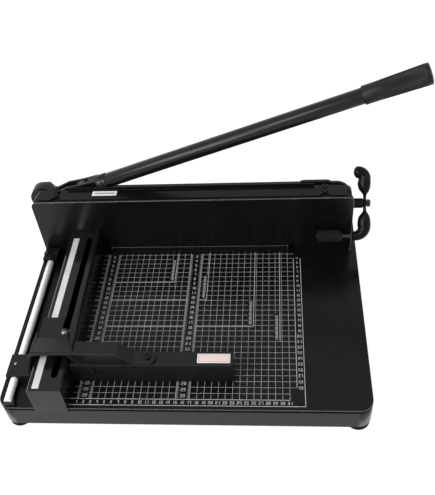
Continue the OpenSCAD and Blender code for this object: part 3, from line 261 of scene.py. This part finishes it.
# The clamp foot's light edge colour is a painted highlight along its edges, not wear
CLAMP = finish("clamp_black_paint", *GLOSS_BLACK, (0.14, 0.22), specular=0.24,
               wear_and_highlight=(0.25, 0.25, 0.256), edge=0.0014, patchy=0.7)

# Plastics and rubbers, and a near-black for painted shade

# The knob's light edge colour is a painted highlight on its rib crests, not wear
KNOB = finish("knob_plastic", (0.004, 0.004, 0.0045), (0.007, 0.007, 0.0075), (0.16, 0.22), specular=0.12,
              depth=SMOOTH, wear_and_highlight=(0.1, 0.1, 0.102), edge=0.0007, patchy=0.6)
GRIP = finish("grip_plastic", (0.008, 0.008, 0.009), (0.012, 0.012, 0.013), (0.38, 0.5), specular=0.22,
              depth=0.00005)
STICK = finish("stick_plastic", (0.78, 0.76, 0.69), (0.86, 0.84, 0.78), (0.35, 0.5))
FOOT = finish("foot_rubber", (0.003, 0.003, 0.003), (0.006, 0.006, 0.006), (0.55, 0.7), specular=0.05,
              depth=GRAINY)
# Near-black matte for the strips in the seams: painted shade, not a part
SHADE = finish("painted_seam_shade", (0.001, 0.001, 0.001), (0.002, 0.002, 0.002), (0.7, 0.85), specular=0.02)
RUBBER = finish("black_rubber", (0.008, 0.008, 0.008), (0.014, 0.014, 0.014), (0.6, 0.75), specular=0.35,
                depth=GRAINY)

# Metals

IRON = finish("dark_iron", (0.02, 0.02, 0.021), (0.035, 0.035, 0.037), (0.4, 0.55), peel=500.0,
              depth=0.00006)
STEEL = finish("plated_steel", (0.42, 0.42, 0.44), (0.56, 0.56, 0.58), (0.25, 0.4), metallic=1.0)
GROUND = finish("ground_steel", (0.6, 0.61, 0.63), (0.75, 0.76, 0.78), (0.18, 0.3), metallic=1.0,
                stretch=(0.03, 1.0, 1.0))
# Chrome drawn as a near-white, mostly diffuse paint: the white is a painted reflection of the white
# surroundings
CHROME_PAINTED_WHITE = finish("chrome", (0.93, 0.93, 0.935), (0.98, 0.98, 0.985), (0.2, 0.3), metallic=0.1,
                specular=0.8, depth=0.0000005)
BOLT = finish("bolt_chrome", (0.1, 0.1, 0.105), (0.2, 0.2, 0.205), (0.12, 0.2), metallic=1.0, depth=SMOOTH)
SCALE = finish("scale_metal", (0.62, 0.62, 0.61), (0.74, 0.74, 0.73), (0.35, 0.5), metallic=0.3,
               peel=1400.0, depth=GRAINY)
BRONZE = finish("bronze", (0.45, 0.3, 0.11), (0.56, 0.4, 0.17), (0.25, 0.4), metallic=1.0)
DARK_STEEL = finish("black_oxide", (0.015, 0.015, 0.016), (0.03, 0.03, 0.031), (0.25, 0.35), metallic=0.6)
SCREW = finish("black_screw", (0.004, 0.004, 0.0045), (0.008, 0.008, 0.0085), (0.25, 0.35), specular=0.14)

# Print and labels

PRINT = finish("white_print", (0.42, 0.42, 0.43), (0.56, 0.56, 0.57), (0.4, 0.5))
WHITE = finish("white_label", (0.8, 0.8, 0.8), (0.88, 0.88, 0.88), (0.4, 0.5), depth=SMOOTH)
GREY = finish("grey_field", (0.3, 0.3, 0.31), (0.36, 0.36, 0.37), (0.35, 0.45), depth=SMOOTH)
RED = finish("red_line", (0.5, 0.08, 0.07), (0.6, 0.11, 0.09), (0.4, 0.5), depth=SMOOTH)
PINK = finish("pink_field", (0.78, 0.62, 0.6), (0.84, 0.69, 0.67), (0.4, 0.5), depth=SMOOTH)


# Finish of the solids: by node where one is named, and otherwise by the record's material slot

BY_SLOT = {
    "black_paint": SATIN, "iron": IRON, "steel": STEEL, "blade_steel": GROUND, "chrome": CHROME_PAINTED_WHITE,
    "rubber": RUBBER, "grip_plastic": GRIP, "stick_plastic": STICK, "scale_metal": SCALE, "bronze": BRONZE,
}
BY_NODE = {
    "base_tray": GLOSS, "table_plate": TABLE_TOP, "rubber_feet": FOOT, "side_lay": LAY,
    "rod_holder_rear": TABLE, "front_cover": COVER, "top_plate": TABLE, "top_plate_screws": SCREW,
    "clamp_foot": CLAMP, "clamp_face": COVER, "handle_tube": TUBE, "tube_collar": TUBE,
    "lever_casting": TUBE, "crank_collar": CRANK, "crank_knob": KNOB, "lock_bolt": BOLT,
    "pusher_screws": SCREW,
}
DARK_NODES = (
    "rod_holder_screws", "knob_pin", "pivot_washer", "drive_pin", "clamp_racks", "crank_nut", "clamp_shaft",
    "clamp_pinions", "pivot_bolt", "guide_studs", "guide_nuts", "blade_screws", "lug_screws", "rack_screws",
    "cover_screws",
)
BY_NODE.update({name: DARK_STEEL for name in DARK_NODES})

# Width of the rounded edges in metres, and the nodes where it differs
EDGE_WIDTH = 0.0005
EDGE = {
    "table_plate": 0.0008, "base_tray": 0.0010, "front_cover": 0.0010, "side_lay": 0.0002,
    "pusher_bar": 0.0008, "lever_casting": 0.0012, "scale_strip": 0.0002, "clamp_racks": 0.0001,
    "clamp_pinions": 0.0001, "pivot_washer": 0.0001, "crank_collar": 0.0002, "blade": 0.0001,
    "crank": 0.002, "pusher_arm": 0.0009, "pusher_horn": 0.0025, "rod_slider": 0.0012,
}
EDGE_SEGMENTS = 2
EDGE_ANGLE = math.radians(40)
WELD_REACH = 0.000002


def dress_nodes():
    """Gives every CAD node its material and small rounded edges."""
    slots = {entry["node"]: entry["material_slot"] for entry in RECORD["subparts"]}
    for name, node in NODES.items():
        material = BY_NODE.get(name, BY_SLOT[slots[name]])
        if not node.material_slots:
            node.data.materials.append(material)
        for entry in node.material_slots:
            entry.material = material
        weld = node.modifiers.new("weld", "WELD")
        weld.merge_threshold = WELD_REACH
        bevel = node.modifiers.new("bevel", "BEVEL")
        bevel.width = EDGE.get(name, EDGE_WIDTH)
        bevel.segments = EDGE_SEGMENTS
        bevel.limit_method = "ANGLE"
        bevel.angle_limit = EDGE_ANGLE
        bevel.harden_normals = True


dress_nodes()


# Mesh helpers

BAR_FACES = ((0, 2, 3, 1), (4, 5, 7, 6), (0, 1, 5, 4), (2, 6, 7, 3), (0, 4, 6, 2), (1, 3, 7, 5))


def bar(work, x, y, z):
    """A thin closed bar between the given spans, in millimetres from the datum."""
    corners = [work.verts.new(at(px, py, pz)) for pz in z for py in y for px in x]
    for face in BAR_FACES:
        work.faces.new([corners[i] for i in face])


def round_rectangle(x, y, z, corner, inset, steps):
    """A ring of points at height z round a rectangle with round corners, drawn in by inset."""
    r = corner - inset
    ring = []
    for quarter, (cx, cy) in enumerate(((x[1], y[1]), (x[0], y[1]), (x[0], y[0]), (x[1], y[0]))):
        mid_x = cx - math.copysign(corner, cx - sum(x) / 2)
        mid_y = cy - math.copysign(corner, cy - sum(y) / 2)
        for step in range(steps + 1):
            a = math.radians(90 * (quarter + step / steps))
            ring.append(at(mid_x + r * math.cos(a), mid_y + r * math.sin(a), z))
    return ring


def skin(work, rings, ring_shaped=False):
    """Joins rings of points into a closed skin: with its ends filled, or joined to each other."""
    loops = [[work.verts.new(p) for p in ring] for ring in rings]
    pairs = list(zip(loops, loops[1:]))
    if ring_shaped:
        pairs.append((loops[-1], loops[0]))
    for first, second in pairs:
        count = len(first)
        for i in range(count):
            j = (i + 1) % count
            work.faces.new((first[i], first[j], second[j], second[i]))
    if not ring_shaped:
        work.faces.new(loops[0][::-1])
        work.faces.new(loops[-1])


def piece(name, work, material, body, smooth=None):
    """A new mesh object from a bmesh, riding on a body; edges under smooth degrees are shaded round."""
    mesh = bpy.data.meshes.new(name)
    bmesh.ops.recalc_face_normals(work, faces=work.faces)
    work.to_mesh(mesh)
    work.free()
    mesh.materials.append(material)
    if smooth is not None:
        for face in mesh.polygons:
            face.use_smooth = True
        mesh.set_sharp_from_angle(angle=math.radians(smooth))
    made = bpy.data.objects.new(name, mesh)
    SCENE.collection.objects.link(made)
    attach(made, body)
    return made


# Printed table: x to the right of the datum and v in front of it, in millimetres

INK = (-0.01, 0.05)
# Half widths of lines
HAIR, THIN, BOLD = 0.14, 0.2, 0.4
CELL = 10
GRID_LEFT, GRID_RIGHT, RIGHT_EDGE = 3, 320, 331
GRID_BACK, FIRST_ROW, GRID_FRONT, FRONT_EDGE = 26, 30, 310, 320
SIDE_BACK = 40
# The front right corner past these lines is bare
CORNER_LEFT, CORNER_BACK = 310, 290
# Two rulers run from back to front through the grid
BANDS = ((10, 30), (150, 170))
TICK, LONG_TICK, LONG_EVERY = 3, 5, 5
SHEETS = ((128, 91), (182, 128), (257, 182), (297, 210))

# The bars of each figure from 0 to 9: a is the top one, b to f go on clockwise, and g is in the middle
FIGURES = ("abcdef", "bc", "abged", "abgcd", "fgbc", "afgcd", "afgedc", "abc", "abcdefg", "abcdfg")
# Half width of a figure, thickness of its bars and step to the next figure, as shares of its height
FIGURE_HALF, FIGURE_THICK, FIGURE_STEP = 0.26, 0.14, 0.72
EDGE_FIGURE, BAND_FIGURE = 5, 5.5
BAND_FIGURE_DROP = 4


def figure(work, digit, x, y, height):
    """One plain figure of bars, its middle at x and y."""
    half_w, half_h, thick = height * FIGURE_HALF, height / 2, height * FIGURE_THICK
    strokes = {
        "a": ((-half_w, half_w), (half_h - thick, half_h)),
        "b": ((half_w - thick, half_w), (0, half_h)),
        "c": ((half_w - thick, half_w), (-half_h, 0)),
        "d": ((-half_w, half_w), (-half_h, -half_h + thick)),
        "e": ((-half_w, -half_w + thick), (-half_h, 0)),
        "f": ((-half_w, -half_w + thick), (0, half_h)),
        "g": ((-half_w, half_w), (-thick / 2, thick / 2)),
    }
    for stroke in FIGURES[digit]:
        (x0, x1), (y0, y1) = strokes[stroke]
        bar(work, (x + x0, x + x1), (y + y0, y + y1), INK)


def number(work, value, x, y, height):
    """A whole number, its middle at x and y."""
    digits = [int(c) for c in str(value)]
    step = height * FIGURE_STEP
    for i, digit in enumerate(digits):
        figure(work, digit, x + (i - (len(digits) - 1) / 2) * step, y, height)


def make_print():
    """Grid, rulers with plain numbers and the outlines of paper sheets, as raised ink on the table."""
    work = bmesh.new()

    def across(v, x0, x1, half):
        bar(work, (x0, x1), (-v - half, -v + half), INK)

    def along(x, v0, v1, half):
        bar(work, (x - half, x + half), (-v1, -v0), INK)

    def row(v, right, half):
        """A line across the grid, left open where the bands cross it."""
        left = GRID_LEFT
        for lo, hi in BANDS + ((right, right),):
            if lo <= right:
                across(v, left, lo, half)
                left = hi

    for x in range(CELL, GRID_RIGHT, CELL):
        if not any(lo < x < hi for lo, hi in BANDS):
            along(x, GRID_BACK, GRID_FRONT, THIN)
    for v in range(FIRST_ROW, GRID_FRONT, CELL):
        row(v, GRID_RIGHT if v <= CORNER_BACK else CORNER_LEFT, THIN)
    across(GRID_FRONT, 0, CORNER_LEFT, BOLD)
    across(FRONT_EDGE, 0, RIGHT_EDGE, BOLD)
    along(GRID_RIGHT, SIDE_BACK, CORNER_BACK, BOLD)
    along(RIGHT_EDGE, SIDE_BACK, FRONT_EDGE + BOLD, BOLD)
    for lo, hi in BANDS:
        for v in range(FIRST_ROW, GRID_FRONT):
            length = TICK if v % LONG_EVERY else LONG_TICK
            across(v, lo, lo + length, HAIR)
            across(v, hi - length, hi, HAIR)
        for v in range(FIRST_ROW, GRID_FRONT, CELL):
            number(work, v // CELL, (lo + hi) / 2, -v - BAND_FIGURE_DROP, BAND_FIGURE)
    for n in range(1, GRID_RIGHT // CELL):
        number(work, n, CELL * n, -(GRID_FRONT + FRONT_EDGE) / 2, EDGE_FIGURE)
    for n in range(SIDE_BACK // CELL, CORNER_BACK // CELL + 1):
        number(work, n, (GRID_RIGHT + RIGHT_EDGE) / 2, -CELL * n, EDGE_FIGURE)
    for width, depth in SHEETS:
        along(width, GRID_BACK, depth, BOLD)
        row(depth, width, BOLD)
    piece("table_print", work, PRINT, "frame")


# Labels of the sheets: how far they lie behind the outline's front and left of its side

LABEL_FRONT, LABEL_LENGTH = 2, 50
LABEL_LEFT, LABEL_MIDDLE, LABEL_RIGHT = 9, 5, 1.2
FIELD_LIFT = 0.02
MARK_STEP, MARK_WIDTH, MARK_LIFT = 2, 0.8, 0.05
LONG_MARK, SHORT_MARK, SHORT_EVERY = 4.6, 2.4, 4
MARKS = LABEL_LENGTH // MARK_STEP - 2


def make_sheet_labels():
    """A dark field beside each sheet outline, with plain marks on it."""
    field = bmesh.new()
    ticks = bmesh.new()
    for width, depth in SHEETS:
        front = -depth + LABEL_FRONT
        bar(field, (width - LABEL_LEFT, width - LABEL_RIGHT), (front, front + LABEL_LENGTH),
            (INK[0], INK[1] + FIELD_LIFT))
        middle = width - LABEL_MIDDLE
        for i in range(MARKS):
            half = (LONG_MARK if i % SHORT_EVERY else SHORT_MARK) / 2
            y = front + MARK_STEP * (i + 1)
            bar(ticks, (middle - half, middle + half), (y, y + MARK_WIDTH), (INK[1], INK[1] + MARK_LIFT))
    piece("sheet_label_fields", field, TABLE, "frame")
    piece("sheet_label_ticks", ticks, PRINT, "frame")


make_print()
make_sheet_labels()


# Bare plates: spans along x and y, in millimetres from the datum

HEAD_PLATE = ((-1, 39), (-9, 1.4))
BAR_LABEL = ((182, 228), (-277, -261.5))
# How far a plate's field or line is drawn in from its ends and from its sides
HEAD_FIELD_INSET = (3.5, 3.4)
BAR_FIELD_INSET = (2.5, 2.4)
BAR_LINE_INSET = (1.7, 1.6)
BAR_LINE_WIDTH = 0.55
# Lower and upper faces above what carries the plate
HEAD_PLATE_Z, HEAD_FIELD_Z = (-0.02, 0.5), (0.5, 0.6)
BAR_LABEL_Z, BAR_FIELD_Z, BAR_LINE_Z = (-0.02, 0.25), (0.25, 0.3), (0.24, 0.32)
PLATE_CORNER, FIELD_CORNER = 1.2, 0.6
PLATE_CHAMFER = 0.08
PLATE_STEPS = 6
# How far the front cover ends below the top plate's face
COVER_DROP = 2


def drawn_in(spans, insets):
    """The spans of a rectangle, each made shorter by its inset at both ends."""
    return [(lo + inset, hi - inset) for (lo, hi), inset in zip(spans, insets)]


def above(height, span):
    """A span of heights, counted from the given height."""
    return [height + z for z in span]


def frame_of_bars(work, x, y, z, thick):
    """Four bars round the inside of a rectangle."""
    bar(work, x, (y[0], y[0] + thick), z)
    bar(work, x, (y[1] - thick, y[1]), z)
    bar(work, (x[0], x[0] + thick), (y[0] + thick, y[1] - thick), z)
    bar(work, (x[1] - thick, x[1]), (y[0] + thick, y[1] - thick), z)


def layer(name, spans, z, material, body, corner=PLATE_CORNER):
    """A thin plate with rounded corners, z its lower and upper face."""
    work = bmesh.new()
    profile = ((z[0], 0.0), (z[1] - PLATE_CHAMFER, 0.0), (z[1], PLATE_CHAMFER))
    skin(work, [round_rectangle(*spans, height, corner, inset, PLATE_STEPS) for height, inset in profile])
    piece(name, work, material, body)


def make_plates():
    """The blank plate on the head, and the blank framed label on the pusher bar."""
    top = height_of("front_cover") + COVER_DROP
    layer("head_plate", HEAD_PLATE, above(top, HEAD_PLATE_Z), WHITE, "frame")
    layer("head_plate_field", drawn_in(HEAD_PLATE, HEAD_FIELD_INSET), above(top, HEAD_FIELD_Z), GREY, "frame")
    top = height_of("pusher_bar")
    layer("bar_label", BAR_LABEL, above(top, BAR_LABEL_Z), WHITE, "pusher")
    layer("bar_label_field", drawn_in(BAR_LABEL, BAR_FIELD_INSET), above(top, BAR_FIELD_Z), PINK, "pusher",
          FIELD_CORNER)
    work = bmesh.new()
    frame_of_bars(work, *drawn_in(BAR_LABEL, BAR_LINE_INSET), above(top, BAR_LINE_Z), BAR_LINE_WIDTH)
    piece("bar_label_line", work, RED, "pusher")


make_plates()


# Dark strips of painted shade in the seam below the table plate and along the front cover, in millimetres

SEAM_Z = (-5.8, -4.0)
SEAM_INSET = (0.3, 1.45)
SEAM_CORNER = 20
SEAM_STEPS = 12
STRIP_Y = (0.05, 2.2)
STRIP_Z = (-0.01, 0.05)
# The strip along the cover ends before the top plate's bends and leaves air round the clamp's racks
BEND = 11
RACK_WIDTH = 12
RACK_AIR = 1.6


def make_seams():
    """A ring of painted shade in the seam round the tray, and a strip of painted shade in three lengths along
    the front cover.
    """
    lo, hi = from_datum("base_tray")
    profile = [(inset, z) for inset, heights in zip(SEAM_INSET, (SEAM_Z, SEAM_Z[::-1])) for z in heights]
    work = bmesh.new()
    skin(work, [round_rectangle((lo.x, hi.x), (lo.y, hi.y), z, SEAM_CORNER, inset, SEAM_STEPS)
                for inset, z in profile], ring_shaped=True)
    piece("table_seam_shade", work, SHADE, "frame")

    top = height_of("front_cover") + COVER_DROP
    lo, hi = from_datum("top_plate")
    rack_lo, rack_hi = from_datum("clamp_racks")
    ends = (lo.x + BEND, rack_lo.x - RACK_AIR, rack_lo.x + RACK_WIDTH + RACK_AIR,
            rack_hi.x - RACK_WIDTH - RACK_AIR, rack_hi.x + RACK_AIR, hi.x - BEND)
    work = bmesh.new()
    for x0, x1 in zip(ends[::2], ends[1::2]):
        bar(work, (x0, x1), [lo.y + y for y in STRIP_Y], above(top, STRIP_Z))
    piece("cover_seam_shade", work, SHADE, "frame")


make_seams()


# Grip on the lever, in millimetres from the lever's pivot

PIVOT = joint_place("lever_swing")
LEVER_TILT = math.radians(20.1)
LEVER_END = 634.5
TUBE_DROP = 10.0
GRIP_RIBS = 28
RIB_POINTS = 6
RIB_DEPTH = 1.2

# Distance back from the lever's end along the tube, outer radius, and 1 where the ribs show
GRIP_PROFILE = (
    (97.0, 12.3, 0), (96.8, 13.4, 0), (95.6, 14.0, 0), (77.0, 14.0, 0), (70.0, 14.2, 0), (68.0, 14.25, 1),
    (37.0, 14.95, 1), (9.5, 15.65, 1), (7.5, 15.7, 0), (6.2, 15.7, 0), (5.9, 15.3, 0), (5.3, 15.3, 0),
    (5.0, 15.7, 0), (2.8, 15.55, 0), (1.5, 14.6, 0), (0.7, 11.5, 0), (0.2, 7.0, 0), (0.0, 2.5, 0),
)


def on_lever(u, side, up):
    """A point on the lever: along the tube, towards the back and square to the tube, from the pivot."""
    x = u * math.cos(LEVER_TILT) - up * math.sin(LEVER_TILT)
    z = u * math.sin(LEVER_TILT) + up * math.cos(LEVER_TILT)
    return PIVOT + Vector((x, side, z)) * MM


def make_grip():
    """A swelling grip with ribs along it, and a groove before its round end."""
    work = bmesh.new()
    around = GRIP_RIBS * RIB_POINTS
    rings = []
    for back, radius, ribbed in GRIP_PROFILE:
        ring = []
        for i in range(around):
            a = 2 * math.pi * i / around
            r = radius - ribbed * RIB_DEPTH * (0.5 - 0.5 * math.cos(GRIP_RIBS * a))
            ring.append(on_lever(LEVER_END - back, r * math.cos(a), r * math.sin(a) - TUBE_DROP))
        rings.append(ring)
    skin(work, rings)
    grip = piece("ribbed_grip", work, GRIP, "lever", smooth=32)
    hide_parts("handle_grip", "grip_cap")


make_grip()


# Crank: one casting with a thin neck and two comma-shaped lobes, in millimetres from its joint

SHAFT = joint_place("crank_turn")
CRANK_TILT = math.radians(38.5)
NECK_X, LOBE_X = 18.4, 19.0
# The middle line goes from the neck to the lobe over this distance from the shaft
NECK_LENGTH = 15.0

# Distance from the shaft, half thickness away from the head, the same towards it, half depth across
STEM = (
    (0.0, 2.9, 2.9, 7.0), (8.0, 2.4, 2.4, 6.2), (12.0, 2.6, 2.6, 6.4), (14.5, 3.6, 3.8, 7.4),
    (17.5, 5.8, 6.4, 9.0), (21.5, 7.8, 9.4, 10.2), (26.0, 8.8, 10.8, 10.8), (31.0, 9.2, 11.4, 11.0),
)
# The stem ends this far before the bend, and its inner side stays within the bend's radius and some more
BEND_GAP = 1
INNER_SPARE, INNER_SLOPE = 1.0, 0.1
INNER_AIR = 0.5
TIP_THINNING = 2.0
# The round end stops at this angle, just short of a point
CAP_ANGLE = 86
ROUND_STEPS = 8
AROUND = 28

# Reach of each arm from the shaft, where its tip starts, half thickness there and length of the round end
LOW_LOBE = {"arm": 52.0, "tip_x": 4.0, "tip_half": 7.6, "cap": 5.5}
HIGH_LOBE = {"arm": 48.5, "tip_x": 8.6, "tip_half": 9.6, "cap": 7.0}


def on_crank(x, side, out):
    """A point on the crank: along the shaft, across the arms and along the upper arm."""
    y = side * math.cos(CRANK_TILT) + out * math.sin(CRANK_TILT)
    z = out * math.cos(CRANK_TILT) - side * math.sin(CRANK_TILT)
    return SHAFT + Vector((x, y, z)) * MM


def between(start, end, share):
    """The value a share of the way from start to end."""
    return start + (end - start) * share


def lobe_spine(arm, tip_x, tip_half, cap):
    """The middle line of one arm: x, distance out, turn, outer and inner half thickness and half depth.

    The arm bends over towards the head until tip_x, tip_half thick, and ends round over the length cap.
    """
    bend = LOBE_X - tip_x
    stem_end, stem_outer, stem_inner, stem_depth = STEM[-1]
    spine = []
    for out, outer, inner, depth in STEM:
        x = between(NECK_X, LOBE_X, min(1.0, out / NECK_LENGTH))
        room = bend + INNER_SPARE + INNER_SLOPE * (stem_end - out)
        spine.append((x, min(out, arm - bend - BEND_GAP), 0.0, outer, min(inner, room), depth))
    for step in range(ROUND_STEPS + 1):
        share = step / ROUND_STEPS
        turn = math.pi / 2 * share
        outer = between(stem_outer, tip_half, share)
        inner = min(between(stem_inner, tip_half, share), bend - INNER_AIR)
        depth = stem_depth - TIP_THINNING * share
        x = tip_x + bend * math.cos(turn)
        spine.append((x, arm - bend + bend * math.sin(turn), turn, outer, inner, depth))
    for step in range(1, ROUND_STEPS + 1):
        a = math.radians(CAP_ANGLE * step / ROUND_STEPS)
        shrink = math.cos(a)
        x = tip_x - cap * math.sin(a)
        spine.append((x, arm, math.pi / 2, outer * shrink, inner * shrink, depth * shrink))
    return spine


def section(x, out, turn, outer, inner, depth, sign):
    """An oval ring square to the spine; sign is 1 on the upper arm and -1 on the lower one."""
    ring = []
    for i in range(AROUND):
        t = 2 * math.pi * i / AROUND
        shift = (outer if math.cos(t) > 0 else inner) * math.cos(t)
        reach = sign * (out + shift * math.sin(turn))
        ring.append(on_crank(x + shift * math.cos(turn), depth * math.sin(t), reach))
    return ring


def make_crank():
    """The two arms as one skin, from the tip of the lower lobe to the tip of the upper one."""
    work = bmesh.new()
    rings = [section(*place, -1) for place in reversed(lobe_spine(**LOW_LOBE))]
    rings += [section(*place, 1) for place in lobe_spine(**HIGH_LOBE)[1:]]
    skin(work, rings)
    crank = piece("lobed_crank", work, CRANK, "crank", smooth=60)
    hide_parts("crank")


make_crank()


# Small metal, in millimetres

RIM_STEPS = 36
RIM_CHAMFER = 0.4
RIM_SMOOTH = 40
SIXTH = math.pi / 3
# Radius of a screw head, and outer radius, socket radius and height of each kind of rim
HEAD_RADIUS = 4.5
TOP_RIM, FRONT_RIM = (4.4, 2.4, 1.0), (4.4, 2.4, 0.8)
WASHER, GRUB = (6.4, 5.0, 0.7), (1.9, 0.9, 0.5)
# Places from the datum: the arm's screw, the screw in the pusher's front, and the slider's grub screw
ARM_SCREW_Y = -269.75
FRONT_SCREW_X, FRONT_SCREW_Z = 33, 26
GRUB_X, GRUB_Y = -87.8, -262.2
HORN_PLATE = 4


def socket_ring(work, centre, axis, outer, hexagon, tall):
    """A raised rim round a six-sided socket, standing at centre along axis."""
    turn = Vector(UP).rotation_difference(Vector(axis))
    angles = [2 * math.pi * i / RIM_STEPS for i in range(RIM_STEPS)]

    def ring(radii, height):
        return [centre + turn @ (Vector((r * math.cos(a), r * math.sin(a), height)) * MM)
                for r, a in zip(radii, angles)]

    wide = [outer] * RIM_STEPS
    narrow = [outer - RIM_CHAMFER] * RIM_STEPS
    apothem = hexagon * math.cos(SIXTH / 2)
    inside = [apothem / math.cos((a + SIXTH / 2) % SIXTH - SIXTH / 2) for a in angles]
    outside = [ring(wide, 0), ring(wide, tall - RIM_CHAMFER), ring(narrow, tall)]
    skin(work, outside + [ring(inside, tall), ring(inside, 0)], ring_shaped=True)


def rims(name, places, material, body):
    """One piece of rims, each given by its centre, its axis and its sizes."""
    work = bmesh.new()
    for centre, axis, sizes in places:
        socket_ring(work, Vector(centre), axis, *sizes)
    piece(name, work, material, body, smooth=RIM_SMOOTH)


def make_small_metal():
    """Rims on the screw heads, the lock bolt's washer and the slider's grub screw."""
    inset = HEAD_RADIUS * MM
    lo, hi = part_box("top_plate_screws")
    places = [((x, y, hi.z), UP, TOP_RIM)
              for x in (lo.x + inset, hi.x - inset) for y in (lo.y + inset, hi.y - inset)]
    rims("top_screw_rims", places, SCREW, "frame")

    lo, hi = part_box("pusher_screws")
    front = at(FRONT_SCREW_X, 0, FRONT_SCREW_Z)
    places = [((hi.x - inset, at(0, ARM_SCREW_Y, 0).y, hi.z), UP, TOP_RIM),
              ((front.x, lo.y, front.z), FRONT, FRONT_RIM)]
    rims("pusher_screw_rims", places, SCREW, "pusher")

    lo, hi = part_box("lock_bolt")
    plate_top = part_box("pusher_horn")[0].z + HORN_PLATE * MM
    places = [(((lo.x + hi.x) / 2, (lo.y + hi.y) / 2, plate_top), UP, WASHER)]
    rims("lock_washer", places, RUBBER, "pusher")

    places = [((*at(GRUB_X, GRUB_Y, 0).xy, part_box("rod_slider")[1].z), UP, GRUB)]
    rims("slider_grub_screw", places, STEEL, "pusher")


make_small_metal()


# Stage, in metres

FLOOR_HALF = 6.0
FLOOR_PALE = (0.95, 0.95, 0.95, 1.0)
FLOOR_ROUGH, FLOOR_SPECULAR = 0.9, 0.1
# The floor's own white where it is seen as background: its share beside the lit floor, and its strength
FLOOR_SHARE, FLOOR_GLOW = 0.8, 1.17
WORLD_WHITE = (1.0, 1.0, 1.0, 1.0)
# Strength of the world as light on the object, and as background
WORLD_LIGHT, WORLD_SEEN = 0.4, 1.0

# Name, place, point aimed at, width and height, and power in watts
LAMPS = (
    ("key", (-1.1, -1.0, 1.7), (0, 0, 0.1), (1.2, 1.2), 8),
    ("fill", (1.4, -0.6, 1.5), (0, 0, 0.1), (1.0, 1.0), 6),
    ("strip", (-1.3, -0.95, 0.9), (-0.1, 0.1, 0.2), (1.3, 0.7), 19),
    ("top", (-0.5, -0.75, 1.5), (0.15, 0.15, 0.3), (0.45, 0.6), 5),
)


def seen_rays(tree):
    """1 for rays that show the background: straight, mirrored or through something clear."""
    path = node_of(tree, "ShaderNodeLightPath").outputs
    mirrored = combine(tree, "MAXIMUM", path["Is Camera Ray"], path["Is Glossy Ray"])
    return combine(tree, "MAXIMUM", mirrored, path["Is Transmission Ray"])


def make_floor():
    """A pale floor that takes the object's shadow and is white where it is seen as background."""
    material = bpy.data.materials.new("pale_floor")
    material.use_nodes = True
    tree = material.node_tree
    shader = tree.nodes["Principled BSDF"]
    shader.inputs["Base Color"].default_value = FLOOR_PALE
    shader.inputs["Roughness"].default_value = FLOOR_ROUGH
    shader.inputs["Specular IOR Level"].default_value = FLOOR_SPECULAR
    glow = node_of(tree, "ShaderNodeEmission")
    glow.inputs["Strength"].default_value = FLOOR_GLOW
    mix = node_of(tree, "ShaderNodeMixShader")
    tree.links.new(combine(tree, "MULTIPLY", seen_rays(tree), FLOOR_SHARE), mix.inputs["Fac"])
    tree.links.new(shader.outputs["BSDF"], mix.inputs[1])
    tree.links.new(glow.outputs["Emission"], mix.inputs[2])
    tree.links.new(mix.outputs["Shader"], tree.nodes["Material Output"].inputs["Surface"])
    mesh = bpy.data.meshes.new("floor")
    corners = [(x * FLOOR_HALF, y * FLOOR_HALF, 0) for x, y in ((-1, -1), (1, -1), (1, 1), (-1, 1))]
    mesh.from_pydata(corners, [], [(0, 1, 2, 3)])
    mesh.materials.append(material)
    floor = bpy.data.objects.new("floor", mesh)
    SCENE.collection.objects.link(floor)


def make_world():
    """A plain white world, dimmer as light than as background."""
    world = bpy.data.worlds.new("studio")
    SCENE.world = world
    world.use_nodes = True
    tree = world.node_tree
    back = tree.nodes["Background"]
    back.inputs["Color"].default_value = WORLD_WHITE
    strength = remap(tree, seen_rays(tree), (0.0, 1.0), (WORLD_LIGHT, WORLD_SEEN))
    tree.links.new(strength, back.inputs["Strength"])


def make_lamps():
    """The soft studio lamps."""
    for name, place, target, size, power in LAMPS:
        data = bpy.data.lights.new(name, "AREA")
        data.shape = "RECTANGLE"
        data.size, data.size_y = size
        data.energy = power
        made = bpy.data.objects.new(name, data)
        SCENE.collection.objects.link(made)
        made.location = place
        made.rotation_mode = "QUATERNION"
        made.rotation_quaternion = (Vector(target) - Vector(place)).to_track_quat("-Z", "Y")


make_floor()
make_world()
make_lamps()


# Camera, solved from the table's printed grid: millimetres from the datum, and degrees

CAMERA_PLACE = (298.795, -828.078, 824.104)
CAMERA_TURN = (44.77, 4.161, 3.212)
CAMERA_LENS, CAMERA_SENSOR = 50.02, 36.0
CAMERA_CLIP = (0.01, 50.0)


def make_camera():
    """The camera at the photograph's place and angle."""
    data = bpy.data.cameras.new("photo_camera")
    data.lens = CAMERA_LENS
    data.sensor_width = CAMERA_SENSOR
    data.clip_start, data.clip_end = CAMERA_CLIP
    camera = bpy.data.objects.new("photo_camera", data)
    SCENE.collection.objects.link(camera)
    turn = Euler([math.radians(angle) for angle in CAMERA_TURN])
    camera.matrix_world = Matrix.Translation(at(*CAMERA_PLACE)) @ turn.to_matrix().to_4x4()
    SCENE.camera = camera


make_camera()
SCENE.view_settings.view_transform = "Standard"
